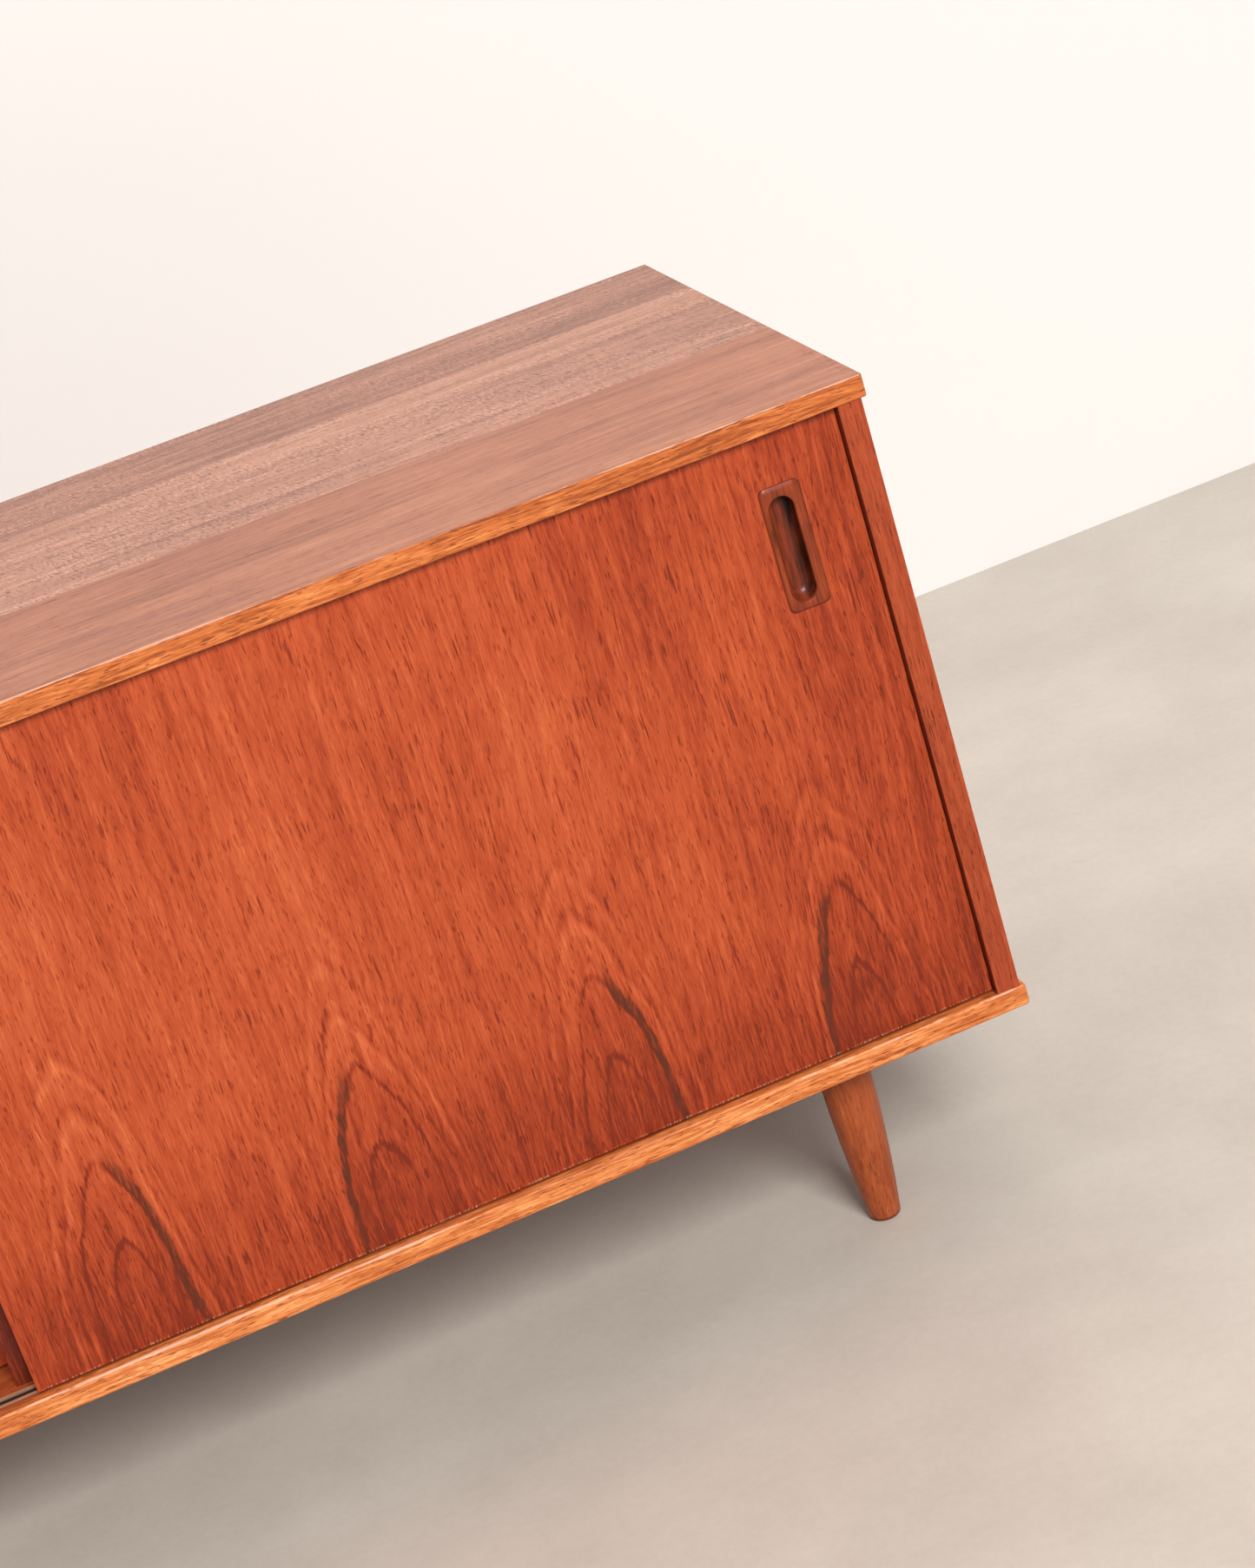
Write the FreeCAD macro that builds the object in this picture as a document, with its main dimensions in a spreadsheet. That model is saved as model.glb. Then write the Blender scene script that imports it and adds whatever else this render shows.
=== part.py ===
# Sideboard: a long cabinet on four turned legs, with a sliding door over each side bay
# and four drawers in the middle bay.
#
# Frame: millimetres, +Z up, +X to the right as seen from the front, the front faces -Y.
# The origin is on the floor, under the middle of the cabinet.

import FreeCAD, Part
import math
import os
import re
import Sketcher

doc = FreeCAD.newDocument("Sideboard")

# ---------------------------------------------------------------- driving dimensions

SIZES = {
    # whole cabinet
    "overall_length": 2290,
    "overall_depth": 478,
    "leg_length": 151.4,
    "bottom_thick": 17,
    "side_height": 465.3,
    "top_thick": 16.3,
    # carcass
    "lipping_depth": 8,
    "top_arris": 0.8,
    "bottom_arris": 2.2,
    "corner_round": 2.5,
    "side_inset": 4.6,
    "side_setback": 1,
    "side_thick": 18,
    "divider_setback": 31,
    "divider_thick": 18,
    "middle_bay_width": 736,
    "back_thick": 5,
    "rebate_width": 8,
    # dowels that hold the boards together
    "dowel_radius": 4,
    "dowel_half_length": 10,
    "dowel_reach": 18,
    "dowel_end_margin": 55,
    "hole_slack": 0.05,
    # sliding doors
    "door_width": 741,
    "door_thick": 20,
    "door_setback": 8.4,
    "door_side_gap": 0.6,
    "door_gap_below": 1.8,
    "door_gap_above": 2,
    "door_lipping": 3,
    # door track in the bottom board and groove in the top board
    "track_width": 12,
    "track_wall": 2.4,
    "track_floor": 1.6,
    "track_sunk": 7,
    "track_proud": 0.6,
    "top_groove_width": 8,
    "top_groove_depth": 9,
    "glide_length": 30,
    "glide_thick": 6,
    "glide_root": 8,
    "glide_inset": 60,
    "glide_slack": 0.2,
    # recessed finger grips
    "grip_width": 31,
    "grip_height": 93,
    "grip_corner": 5,
    "grip_proud": 2,
    "grip_sunk": 11,
    "grip_inward": 53,
    "grip_down": 83.2,
    "grip_recess_width": 18.6,
    "grip_recess_height": 78,
    "grip_recess_depth": 10,
    "grip_rim": 0.8,
    # shelves and their pins
    "shelf_thick": 16,
    "shelf_round": 2,
    "shelf_gap": 1,
    "shelf_setback": 43,
    "shelf_back_gap": 8,
    "shelf_level": 224,
    "pin_radius": 3.5,
    "pin_bore": 10,
    "pin_reach": 11,
    "pin_collar": 5,
    "pin_collar_thick": 0.8,
    "pin_front": 80,
    "pin_rear": 370,
    "pin_pitch": 48,
    # legs
    "leg_inset": 136,
    "leg_setback": 60,
    "leg_top_radius": 20,
    "leg_foot_radius": 12,
    "leg_belly": 2.3,
    "leg_foot_round": 2.5,
    "stud_radius": 4,
    "stud_in_leg": 42,
    "stud_in_board": 12,
    "insert_radius": 6.5,
    "insert_depth": 13.5,
    # drawers
    "drawer_gap": 2,
    "drawer_front_setback": 65,
    "drawer_front_thick": 18,
    "drawer_front_edge_gap": 1.7,
    "drawer_side_thick": 12,
    "drawer_side_clear": 5,
    "drawer_side_low": 8,
    "drawer_side_height": 94,
    "drawer_depth": 380,
    "drawer_housing": 8,
    "drawer_back_thick": 10,
    "drawer_back_inset": 10,
    "drawer_back_housing": 4,
    "drawer_bottom_thick": 5,
    "drawer_bottom_groove": 5,
    "drawer_bottom_rise": 8,
    "drawer_fit": 0.2,
    # wooden runners that the drawer sides hang on
    "runner_width": 9.4,
    "runner_height": 8.4,
    "runner_slot": 9,
    "runner_slot_depth": 5,
    "runner_rise": 52,
    # drawer pulls
    "pull_length": 120,
    "pull_reach": 22,
    "pull_height": 20,
    "pull_neck": 8,
    "pull_lip": 7,
    "pull_round": 3,
    # screws in the back panel
    "screw_radius": 1.7,
    "screw_head_radius": 3.6,
    "screw_length": 16,
    "screw_hole_radius": 2.1,
    "screw_slot": 0.8,
}
DRAWER_COUNT = 4
DOWELS_PER_JOINT = 3
PIN_HOLE_LEVELS = 3
BACK_SCREWS_ALONG = 11
BACK_SCREWS_UP = 3

sheet = doc.addObject("Spreadsheet::Sheet", "Sizes")
for row, (alias, size) in enumerate(SIZES.items(), start=1):
    sheet.set("A%d" % row, alias)
    sheet.set("B%d" % row, str(size))
    sheet.setAlias("B%d" % row, alias)
doc.recompute()


def sized(formula):
    """The formula with every alias read from the spreadsheet."""
    return re.sub(r"[a-z]+(_[a-z]+)+", lambda word: "Sizes." + word.group(), str(formula))


def value(formula):
    """The formula's number now."""
    return float(sheet.evalExpression(sized(formula)))


def bind(thing, prop, formula):
    """Ties a property of a document object to a formula of the sheet's aliases."""
    thing.setExpression(prop, sized(formula))


# ---------------------------------------------------------------- places, as formulas

HALF_LENGTH = "overall_length / 2"
FRONT = "-overall_depth / 2"
REAR = "overall_depth / 2"
FLOOR = "(leg_length + bottom_thick)"
CEILING = "(leg_length + bottom_thick + side_height)"
SIDE_OUTER = "(overall_length / 2 - side_inset)"
SIDE_INNER = "(overall_length / 2 - side_inset - side_thick)"
DIVIDER_NEAR = "(middle_bay_width / 2)"
DIVIDER_FAR = "(middle_bay_width / 2 + divider_thick)"
DIVIDER_FRONT = "(divider_setback - overall_depth / 2)"
BACK_FRONT = "(overall_depth / 2 - back_thick)"
DOOR_FRONT = "(door_setback - overall_depth / 2)"
DOOR_BACK = "(door_setback + door_thick - overall_depth / 2)"
DOOR_MIDDLE = "(door_setback + door_thick / 2 - overall_depth / 2)"
DOOR_OUTER = "(%s - door_side_gap)" % SIDE_INNER
DOOR_INNER = "(%s - door_width)" % DOOR_OUTER
DOOR_LOW = "(%s + door_gap_below)" % FLOOR
DOOR_HIGH = "(%s - door_gap_above)" % CEILING
TRACK_FLOOR = "(%s - track_sunk + track_floor)" % FLOOR
SHELF_FRONT = "(shelf_setback - overall_depth / 2)"
SHELF_REAR = "(%s - shelf_back_gap)" % BACK_FRONT
SHELF_LOW = "(%s + shelf_level)" % FLOOR
LEG_X = "(overall_length / 2 - leg_inset)"
LEG_Y = "(overall_depth / 2 - leg_setback)"
DRAWER_PITCH = "((side_height - drawer_gap) / %d)" % DRAWER_COUNT
DRAWER_HEIGHT = "(%s - drawer_gap)" % DRAWER_PITCH
DRAWER_FACE = "(drawer_front_setback - overall_depth / 2)"
DRAWER_FACE_REAR = "(%s + drawer_front_thick)" % DRAWER_FACE
DRAWER_SIDE_OUTER = "(middle_bay_width / 2 - drawer_side_clear)"
DRAWER_SIDE_INNER = "(%s - drawer_side_thick)" % DRAWER_SIDE_OUTER
DRAWER_END = "(%s + drawer_depth)" % DRAWER_FACE
DRAWER_BACK_FRONT = "(%s - drawer_back_inset - drawer_back_thick)" % DRAWER_END

SIDES = {"left": -1, "right": 1}


def across(side, near, far):
    """Low and high x of a span given from the middle outwards, on the left or the right."""
    if side > 0:
        return near, far
    return "-(%s)" % far, "-(%s)" % near


def spread(low, high, count, index):
    """The place of one of several points spread evenly from low to high."""
    return "(%s + (%s - %s) * %d / %d)" % (low, high, low, index, count - 1)


# ---------------------------------------------------------------- sketches and bodies

def new_body(label):
    """An empty body whose label names the piece."""
    body = doc.addObject("PartDesign::Body", label)
    body.Label = label
    return body


def new_sketch(body, name, plane, offset="0"):
    """A sketch on one of the body's own origin planes, moved out along its normal."""
    sketch = body.newObject("Sketcher::SketchObject", name)
    for feature in body.Origin.OriginFeatures:
        if feature.Role == plane:
            sketch.AttachmentSupport = (feature, [""])
    sketch.MapMode = "FlatFace"
    bind(sketch, "AttachmentOffset.Base.z", offset)
    return sketch


def pin_point(sketch, curve, end, across_formula, up_formula):
    """Holds one point of a sketch at two formulas, measured from the sketch's origin."""
    for kind, formula in (("DistanceX", across_formula), ("DistanceY", up_formula)):
        number = value(formula)
        index = sketch.addConstraint(Sketcher.Constraint(kind, -1, 1, curve, end, number))
        bind(sketch, "Constraints[%d]" % index, formula)


def add_outline(sketch, corners):
    """A closed outline of straight lines through corners given as pairs of formulas."""
    points = [FreeCAD.Vector(value(x), value(y), 0) for x, y in corners]
    count = len(points)
    first = None
    for index in range(count):
        line = Part.LineSegment(points[index], points[(index + 1) % count])
        curve = sketch.addGeometry(line, False)
        if first is None:
            first = curve
        else:
            sketch.addConstraint(Sketcher.Constraint("Coincident", curve - 1, 2, curve, 1))
    sketch.addConstraint(Sketcher.Constraint("Coincident", first + count - 1, 2, first, 1))
    for index, (x, y) in enumerate(corners):
        pin_point(sketch, first + index, 1, x, y)


def add_rectangle(sketch, left, low, right, high):
    """A rectangle between two corners given as formulas."""
    add_outline(sketch, [(left, low), (right, low), (right, high), (left, high)])


def add_circle(sketch, x, y, radius):
    """A circle at a place and of a radius given as formulas."""
    centre = FreeCAD.Vector(value(x), value(y), 0)
    circle = Part.Circle(centre, FreeCAD.Vector(0, 0, 1), value(radius))
    curve = sketch.addGeometry(circle, False)
    pin_point(sketch, curve, 3, x, y)
    index = sketch.addConstraint(Sketcher.Constraint("Radius", curve, value(radius)))
    bind(sketch, "Constraints[%d]" % index, radius)


def pad(body, sketch, length):
    """Pushes a sketch out into a solid along its plane's normal."""
    feature = body.newObject("PartDesign::Pad", "Pad")
    feature.Profile = sketch
    bind(feature, "Length", length)
    doc.recompute()
    return feature


def pocket(body, sketch, length, forward=True):
    """Cuts a sketch out of a body along its plane's normal, and checks that it cut."""
    before = body.Shape.Volume
    feature = body.newObject("PartDesign::Pocket", "Pocket")
    feature.Profile = sketch
    feature.Reversed = forward
    bind(feature, "Length", length)
    doc.recompute()
    if not body.Shape.Volume < before - 1e-3:
        raise RuntimeError("a pocket in %s cuts nothing" % body.Label)
    return feature


def round_edges(body, radius, wanted):
    """Fillets the edges of a body for which wanted(edge) is true."""
    base = body.Tip
    names = []
    for number, edge in enumerate(base.Shape.Edges, start=1):
        if wanted(edge):
            names.append("Edge%d" % number)
    feature = body.newObject("PartDesign::Fillet", "Fillet")
    feature.Base = (base, names)
    bind(feature, "Radius", radius)
    doc.recompute()
    return feature


def board(label, x, y, z):
    """A plain rectangular body between low and high formulas on each axis."""
    body = new_body(label)
    sketch = new_sketch(body, label + "_outline", "XY_Plane", z[0])
    add_rectangle(sketch, x[0], y[0], x[1], y[1])
    pad(body, sketch, "(%s) - (%s)" % (z[1], z[0]))
    return body


def strip(label, x, y, z):
    """A plain rectangular stick as a primitive box."""
    box = doc.addObject("Part::Box", label)
    box.Label = label
    for prop, (low, high) in (("Length", x), ("Width", y), ("Height", z)):
        bind(box, prop, "(%s) - (%s)" % (high, low))
    for axis, (low, high) in (("x", x), ("y", y), ("z", z)):
        bind(box, "Placement.Base." + axis, low)
    return box


def group(label, shapes):
    """Identical small pieces as one group of separate solids."""
    feature = doc.addObject("Part::Feature", label)
    feature.Label = label
    feature.Shape = Part.makeCompound(shapes)
    feature.Placement = FreeCAD.Placement()
    return feature


def turned(profile, place, direction):
    """A solid turned about the line through place, from (along, radius) pairs."""
    points = [FreeCAD.Vector(radius, 0, along) for along, radius in profile]
    face = Part.Face(Part.makePolygon(points + points[:1]))
    solid = face.revolve(FreeCAD.Vector(0, 0, 0), FreeCAD.Vector(0, 0, 1), 360)
    turn = FreeCAD.Rotation(FreeCAD.Vector(0, 0, 1), direction)
    solid.Placement = FreeCAD.Placement(place, turn)
    return solid


# ---------------------------------------------------------------- dowels

def dowel_rows():
    """Places along the depth of the dowels of one upright, as formulas."""
    low = "(%s + dowel_end_margin)" % DIVIDER_FRONT
    high = "(%s - dowel_end_margin)" % BACK_FRONT
    return [spread(low, high, DOWELS_PER_JOINT, index) for index in range(DOWELS_PER_JOINT)]


def upright_middles():
    """The x of the middle of each side panel and divider, as formulas."""
    outer = "(%s - side_thick / 2)" % SIDE_OUTER
    inner = "(%s + divider_thick / 2)" % DIVIDER_NEAR
    return ["-" + outer, "-" + inner, inner, outer]


def drill_dowel_holes(body, middles, level, depth, forward):
    """Blind holes for the dowels, from a level into the body."""
    sketch = new_sketch(body, body.Label + "_dowel_holes", "XY_Plane", level)
    for middle in middles:
        for row in dowel_rows():
            add_circle(sketch, middle, row, "dowel_radius + hole_slack")
    pocket(body, sketch, depth, forward)


def carcass_dowels():
    """Beech dowels between the uprights and the top and bottom boards."""
    radius = value("dowel_radius")
    board_half = value("dowel_half_length")
    reach = value("dowel_reach")
    lows = [value(FLOOR) - board_half, value(CEILING) - reach]
    shapes = []
    for low in lows:
        for middle in upright_middles():
            for row in dowel_rows():
                foot = FreeCAD.Vector(value(middle), value(row), low)
                shapes.append(Part.makeCylinder(radius, board_half + reach, foot))
    group("carcass_dowels", shapes)


# ---------------------------------------------------------------- top and bottom boards

PANEL_END = "(overall_length / 2 - lipping_depth)"
PANEL_FRONT = "(lipping_depth - overall_depth / 2)"


def groove_along(body, name, level, half_width, depth, forward):
    """A stopped groove under the doors' middle line, from one side panel to the other."""
    sketch = new_sketch(body, name, "XY_Plane", level)
    low = "%s - %s" % (DOOR_MIDDLE, half_width)
    high = "%s + %s" % (DOOR_MIDDLE, half_width)
    add_rectangle(sketch, "-" + SIDE_INNER, low, SIDE_INNER, high)
    pocket(body, sketch, depth, forward)


def back_rebate(body, level, forward):
    """The rebate that the back panel sits in, along a board's rear edge."""
    sketch = new_sketch(body, body.Label + "_rebate", "XY_Plane", level)
    reach = "(%s + rebate_width)" % SIDE_INNER
    add_rectangle(sketch, "-" + reach, BACK_FRONT, reach, REAR)
    pocket(body, sketch, "rebate_width", forward)


def top_panel():
    """Veneered top, with the doors' upper groove cut into its underside."""
    high = "%s + top_thick" % CEILING
    body = board("top_panel", ("-" + PANEL_END, PANEL_END), (PANEL_FRONT, REAR), (CEILING, high))
    groove_along(body, "upper_groove", CEILING, "top_groove_width / 2", "top_groove_depth", True)
    back_rebate(body, CEILING, True)
    depth = "dowel_half_length + hole_slack"
    drill_dowel_holes(body, upright_middles(), CEILING, depth, True)


def bottom_panel():
    """Veneered bottom, with a groove for the track and sockets for the legs' inserts."""
    body = board("bottom_panel", ("-" + PANEL_END, PANEL_END), (PANEL_FRONT, REAR),
                 ("leg_length", FLOOR))
    groove_along(body, "track_groove", FLOOR, "track_width / 2", "track_sunk", False)
    back_rebate(body, FLOOR, False)
    depth = "dowel_half_length + hole_slack"
    drill_dowel_holes(body, upright_middles(), FLOOR, depth, False)
    sketch = new_sketch(body, "insert_sockets", "XY_Plane", "leg_length")
    for x_sign in ("", "-"):
        for y_sign in ("", "-"):
            add_circle(sketch, x_sign + LEG_X, y_sign + LEG_Y, "insert_radius + hole_slack")
    pocket(body, sketch, "insert_depth + hole_slack", True)


def front_lipping(label, low, high, arris):
    """Solid strip along a board's front edge; its arris runs round both corners."""
    body = board(label, ("-(%s)" % HALF_LENGTH, HALF_LENGTH), (FRONT, PANEL_FRONT), (low, high))
    face = value(FRONT)

    def is_front_edge(edge):
        return all(abs(vertex.Point.y - face) < 1e-6 for vertex in edge.Vertexes)

    round_edges(body, "corner_round", lambda edge: (
        is_front_edge(edge) and abs(edge.tangentAt(0).z) > 0.9))
    round_edges(body, arris, is_front_edge)


def end_lipping(label, side, low, high, arris):
    """Solid strip along a board's end, behind the front strip."""
    x = across(side, PANEL_END, HALF_LENGTH)
    body = board(label, x, (PANEL_FRONT, REAR), (low, high))
    face = side * value(HALF_LENGTH)
    round_edges(body, arris, lambda edge: abs(edge.tangentAt(0).y) > 0.9 and all(
        abs(vertex.Point.x - face) < 1e-6 for vertex in edge.Vertexes))


def board_lippings():
    """The solid edges of the top and the bottom."""
    levels = {
        "top": (CEILING, "%s + top_thick" % CEILING),
        "bottom": ("leg_length", FLOOR),
    }
    for board_name, (low, high) in levels.items():
        arris = board_name + "_arris"
        front_lipping(board_name + "_front_lipping", low, high, arris)
        for side_name, side in SIDES.items():
            label = "%s_%s_end_lipping" % (board_name, side_name)
            end_lipping(label, side, low, high, arris)


# ---------------------------------------------------------------- side panels and dividers

def drill_pin_holes(body, inner_face, side):
    """Three pairs of holes for shelf pins in an upright's face, towards the shelf bay."""
    sketch = new_sketch(body, body.Label + "_pin_holes", "YZ_Plane", inner_face)
    for row in ("pin_front", "pin_rear"):
        for level in range(PIN_HOLE_LEVELS):
            height = "%s - pin_radius + (%d) * pin_pitch" % (SHELF_LOW, level - 1)
            place = "%s + %s" % (FRONT, row)
            add_circle(sketch, place, height, "pin_radius + hole_slack")
    pocket(body, sketch, "pin_bore", side > 0)


def side_panel(label, side):
    """Outer upright, rebated for the back panel."""
    x = across(side, SIDE_INNER, SIDE_OUTER)
    body = board(label, x, ("%s + side_setback" % FRONT, REAR), (FLOOR, CEILING))
    sketch = new_sketch(body, label + "_rebate", "XY_Plane", FLOOR)
    cut = across(side, SIDE_INNER, "%s + rebate_width" % SIDE_INNER)
    add_rectangle(sketch, cut[0], BACK_FRONT, cut[1], REAR)
    pocket(body, sketch, "side_height", True)
    drill_pin_holes(body, across(side, SIDE_INNER, SIDE_INNER)[0], side)
    drill_uprights(body, x)


def divider(label, side):
    """Inner upright between a side bay and the middle bay."""
    x = across(side, DIVIDER_NEAR, DIVIDER_FAR)
    body = board(label, x, (DIVIDER_FRONT, BACK_FRONT), (FLOOR, CEILING))
    drill_pin_holes(body, across(side, DIVIDER_FAR, DIVIDER_FAR)[0], -side)
    drill_uprights(body, x)


def drill_uprights(body, x):
    """Dowel holes in an upright's lower and upper ends."""
    middle = "((%s) + (%s)) / 2" % x
    for name, level, forward in (("foot", FLOOR, True), ("head", CEILING, False)):
        sketch = new_sketch(body, "%s_%s_holes" % (body.Label, name), "XY_Plane", level)
        for row in dowel_rows():
            add_circle(sketch, middle, row, "dowel_radius + hole_slack")
        pocket(body, sketch, "dowel_reach + hole_slack", forward)


# ---------------------------------------------------------------- back panel and screws

def back_screw_places():
    """Places (x, z) of the screws round the back panel and up the dividers, as formulas."""
    edge = "(%s + rebate_width / 2)" % SIDE_INNER
    low = "(%s - rebate_width / 2)" % FLOOR
    high = "(%s + rebate_width / 2)" % CEILING
    places = []
    for index in range(BACK_SCREWS_ALONG):
        x = spread("-" + edge, edge, BACK_SCREWS_ALONG, index)
        places.append((x, low))
        places.append((x, high))
    middle = "(%s + divider_thick / 2)" % DIVIDER_NEAR
    for index in range(1, BACK_SCREWS_UP + 1):
        z = spread(low, high, BACK_SCREWS_UP + 2, index)
        for x in ("-" + edge, "-" + middle, middle, edge):
            places.append((x, z))
    return places


def back_panel():
    """Thin plywood back in one sheet, with countersunk screw holes."""
    reach = "(%s + rebate_width)" % SIDE_INNER
    plain = strip("back_sheet", ("-" + reach, reach), (BACK_FRONT, REAR),
                  ("%s - rebate_width" % FLOOR, "%s + rebate_width" % CEILING))
    thick = value("back_thick")
    hole = value("screw_hole_radius")
    head = value("screw_head_radius") + 3 * value("hole_slack")
    slope = head - hole
    profile = [(0, 0), (0, head), (slope, hole), (thick, hole), (thick, 0)]
    holes = []
    for x, z in back_screw_places():
        mouth = FreeCAD.Vector(value(x), value(REAR), value(z))
        holes.append(turned(profile, mouth, FreeCAD.Vector(0, -1, 0)))
    drills = doc.addObject("Part::Feature", "back_drills")
    drills.Shape = Part.makeCompound(holes)
    cut = doc.addObject("Part::Cut", "back_panel")
    cut.Label = "back_panel"
    cut.Base = plain
    cut.Tool = drills


def back_screws():
    """Slotted countersunk wood screws, heads just below the back panel's face."""
    shank = value("screw_radius")
    head = value("screw_head_radius")
    length = value("screw_length")
    slope = head - shank
    sunk = value("hole_slack") * 2
    tip = length - shank * 2
    profile = [(sunk, 0), (sunk, head), (sunk + slope, shank), (tip, shank), (length, 0)]
    slot_wide = value("screw_slot")
    shapes = []
    for x, z in back_screw_places():
        mouth = FreeCAD.Vector(value(x), value(REAR), value(z))
        screw = turned(profile, mouth, FreeCAD.Vector(0, -1, 0))
        corner = FreeCAD.Vector(mouth.x - head, mouth.y - slot_wide - sunk, mouth.z - slot_wide / 2)
        shapes.append(screw.cut(Part.makeBox(2 * head, 2 * slot_wide, slot_wide, corner)))
    group("back_screws", shapes)


# ---------------------------------------------------------------- door track

def door_track():
    """Plastic channel that both doors' glides run in, let into the bottom board."""
    body = new_body("door_track")
    end = "(%s - hole_slack)" % SIDE_INNER
    sketch = new_sketch(body, "channel_section", "YZ_Plane", "-" + end)
    half = "track_width / 2"
    slot = "(track_width / 2 - track_wall)"
    low = "%s - track_sunk" % FLOOR
    high = "%s + track_proud" % FLOOR
    corners = [("-", half, low), ("+", half, low), ("+", half, high), ("+", slot, high),
               ("+", slot, TRACK_FLOOR), ("-", slot, TRACK_FLOOR), ("-", slot, high),
               ("-", half, high)]
    add_outline(sketch, [("%s %s %s" % (DOOR_MIDDLE, sign, away), z)
                         for sign, away, z in corners])
    pad(body, sketch, "2 * " + end)


# ---------------------------------------------------------------- sliding doors

GRIP_MIDDLE_X = "(%s - grip_inward)" % DOOR_OUTER
GRIP_MIDDLE_Z = "(%s - grip_down)" % DOOR_HIGH


def add_round_rectangle(sketch, x, z, width, height, corner):
    """A rectangle with rounded corners about a middle, its sizes given as formulas."""
    middle_x, middle_z = value(x), value(z)
    half_x = value(width) / 2
    half_z = value(height) / 2
    radius = value(corner)
    lines = []
    arcs = []
    corners = [(1, -1), (1, 1), (-1, 1), (-1, -1)]
    centres = [FreeCAD.Vector(middle_x + sx * (half_x - radius),
                              middle_z + sz * (half_z - radius), 0) for sx, sz in corners]
    for index, centre in enumerate(centres):
        start = (index - 1) * math.pi / 2
        circle = Part.Circle(centre, FreeCAD.Vector(0, 0, 1), radius)
        arc = Part.ArcOfCircle(circle, start, start + math.pi / 2)
        arcs.append(sketch.addGeometry(arc, False))
    for index in range(4):
        end = sketch.getPoint(arcs[index], 2)
        start = sketch.getPoint(arcs[(index + 1) % 4], 1)
        lines.append(sketch.addGeometry(Part.LineSegment(end, start), False))
    for index in range(4):
        following = arcs[(index + 1) % 4]
        sketch.addConstraint(Sketcher.Constraint("Tangent", arcs[index], 2, lines[index], 1))
        sketch.addConstraint(Sketcher.Constraint("Tangent", lines[index], 2, following, 1))
        place = ("%s + (%d) * ((%s) / 2 - (%s))" % (x, corners[index][0], width, corner),
                 "%s + (%d) * ((%s) / 2 - (%s))" % (z, corners[index][1], height, corner))
        pin_point(sketch, arcs[index], 3, place[0], place[1])
    rule = sketch.addConstraint(Sketcher.Constraint("Radius", arcs[0], radius))
    bind(sketch, "Constraints[%d]" % rule, corner)


def glide_places(side):
    """Low and high x of the two glides along a door's edge, as formulas."""
    first = across(side, "%s + glide_inset" % DOOR_INNER,
                   "%s + glide_inset + glide_length" % DOOR_INNER)
    second = across(side, "%s - glide_inset - glide_length" % DOOR_OUTER,
                    "%s - glide_inset" % DOOR_OUTER)
    return [first, second]


def door_panel(label, side):
    """Veneered sliding door, mortised for its grip and slotted for its glides."""
    x = across(side, "%s + door_lipping" % DOOR_INNER, "%s - door_lipping" % DOOR_OUTER)
    body = board(label, x, (DOOR_FRONT, DOOR_BACK), (DOOR_LOW, DOOR_HIGH))
    mortise = new_sketch(body, label + "_mortise", "XZ_Plane", "-" + DOOR_FRONT)
    middle = "%d * %s" % (side, GRIP_MIDDLE_X)
    add_round_rectangle(mortise, middle, GRIP_MIDDLE_Z, "grip_width + 2 * hole_slack",
                        "grip_height + 2 * hole_slack", "grip_corner + hole_slack")
    pocket(body, mortise, "grip_sunk + hole_slack", False)
    for name, level, forward in (("foot", DOOR_LOW, True), ("head", DOOR_HIGH, False)):
        sketch = new_sketch(body, "%s_%s_slots" % (label, name), "XY_Plane", level)
        for low, high in glide_places(side):
            add_rectangle(sketch, low, "%s - glide_thick / 2" % DOOR_MIDDLE,
                          high, "%s + glide_thick / 2" % DOOR_MIDDLE)
        pocket(body, sketch, "glide_root", forward)


def door_grip(label, side):
    """Let-in finger grip of dark wood: a raised plate with a long rounded recess."""
    body = new_body(label)
    middle = "%d * %s" % (side, GRIP_MIDDLE_X)
    face = "(-%s + grip_proud)" % DOOR_FRONT
    plate = new_sketch(body, label + "_plate", "XZ_Plane", "%s - grip_proud - grip_sunk" % face)
    add_round_rectangle(plate, middle, GRIP_MIDDLE_Z, "grip_width", "grip_height", "grip_corner")
    pad(body, plate, "grip_proud + grip_sunk")
    front = -value(face)
    round_edges(body, "grip_proud - hole_slack", lambda edge: all(
        abs(vertex.Point.y - front) < 1e-6 for vertex in edge.Vertexes))
    recess = new_sketch(body, label + "_recess", "XZ_Plane", face)
    add_round_rectangle(recess, middle, GRIP_MIDDLE_Z, "grip_recess_width",
                        "grip_recess_height", "grip_recess_width / 2 - hole_slack")
    pocket(body, recess, "grip_recess_depth", False)
    floor = front + value("grip_recess_depth")
    round_edges(body, "grip_recess_width / 3", lambda edge: all(
        abs(vertex.Point.y - floor) < 1e-6 for vertex in edge.Vertexes))
    reach = value("grip_recess_height") / 2 + 1e-3
    level = value(GRIP_MIDDLE_Z)
    inside = value("grip_recess_width") / 2 + 1e-3
    centre = value(middle)
    round_edges(body, "grip_rim", lambda edge: all(
        abs(vertex.Point.y - front) < 1e-6 and abs(vertex.Point.z - level) < reach
        and abs(vertex.Point.x - centre) < inside for vertex in edge.Vertexes))


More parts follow.
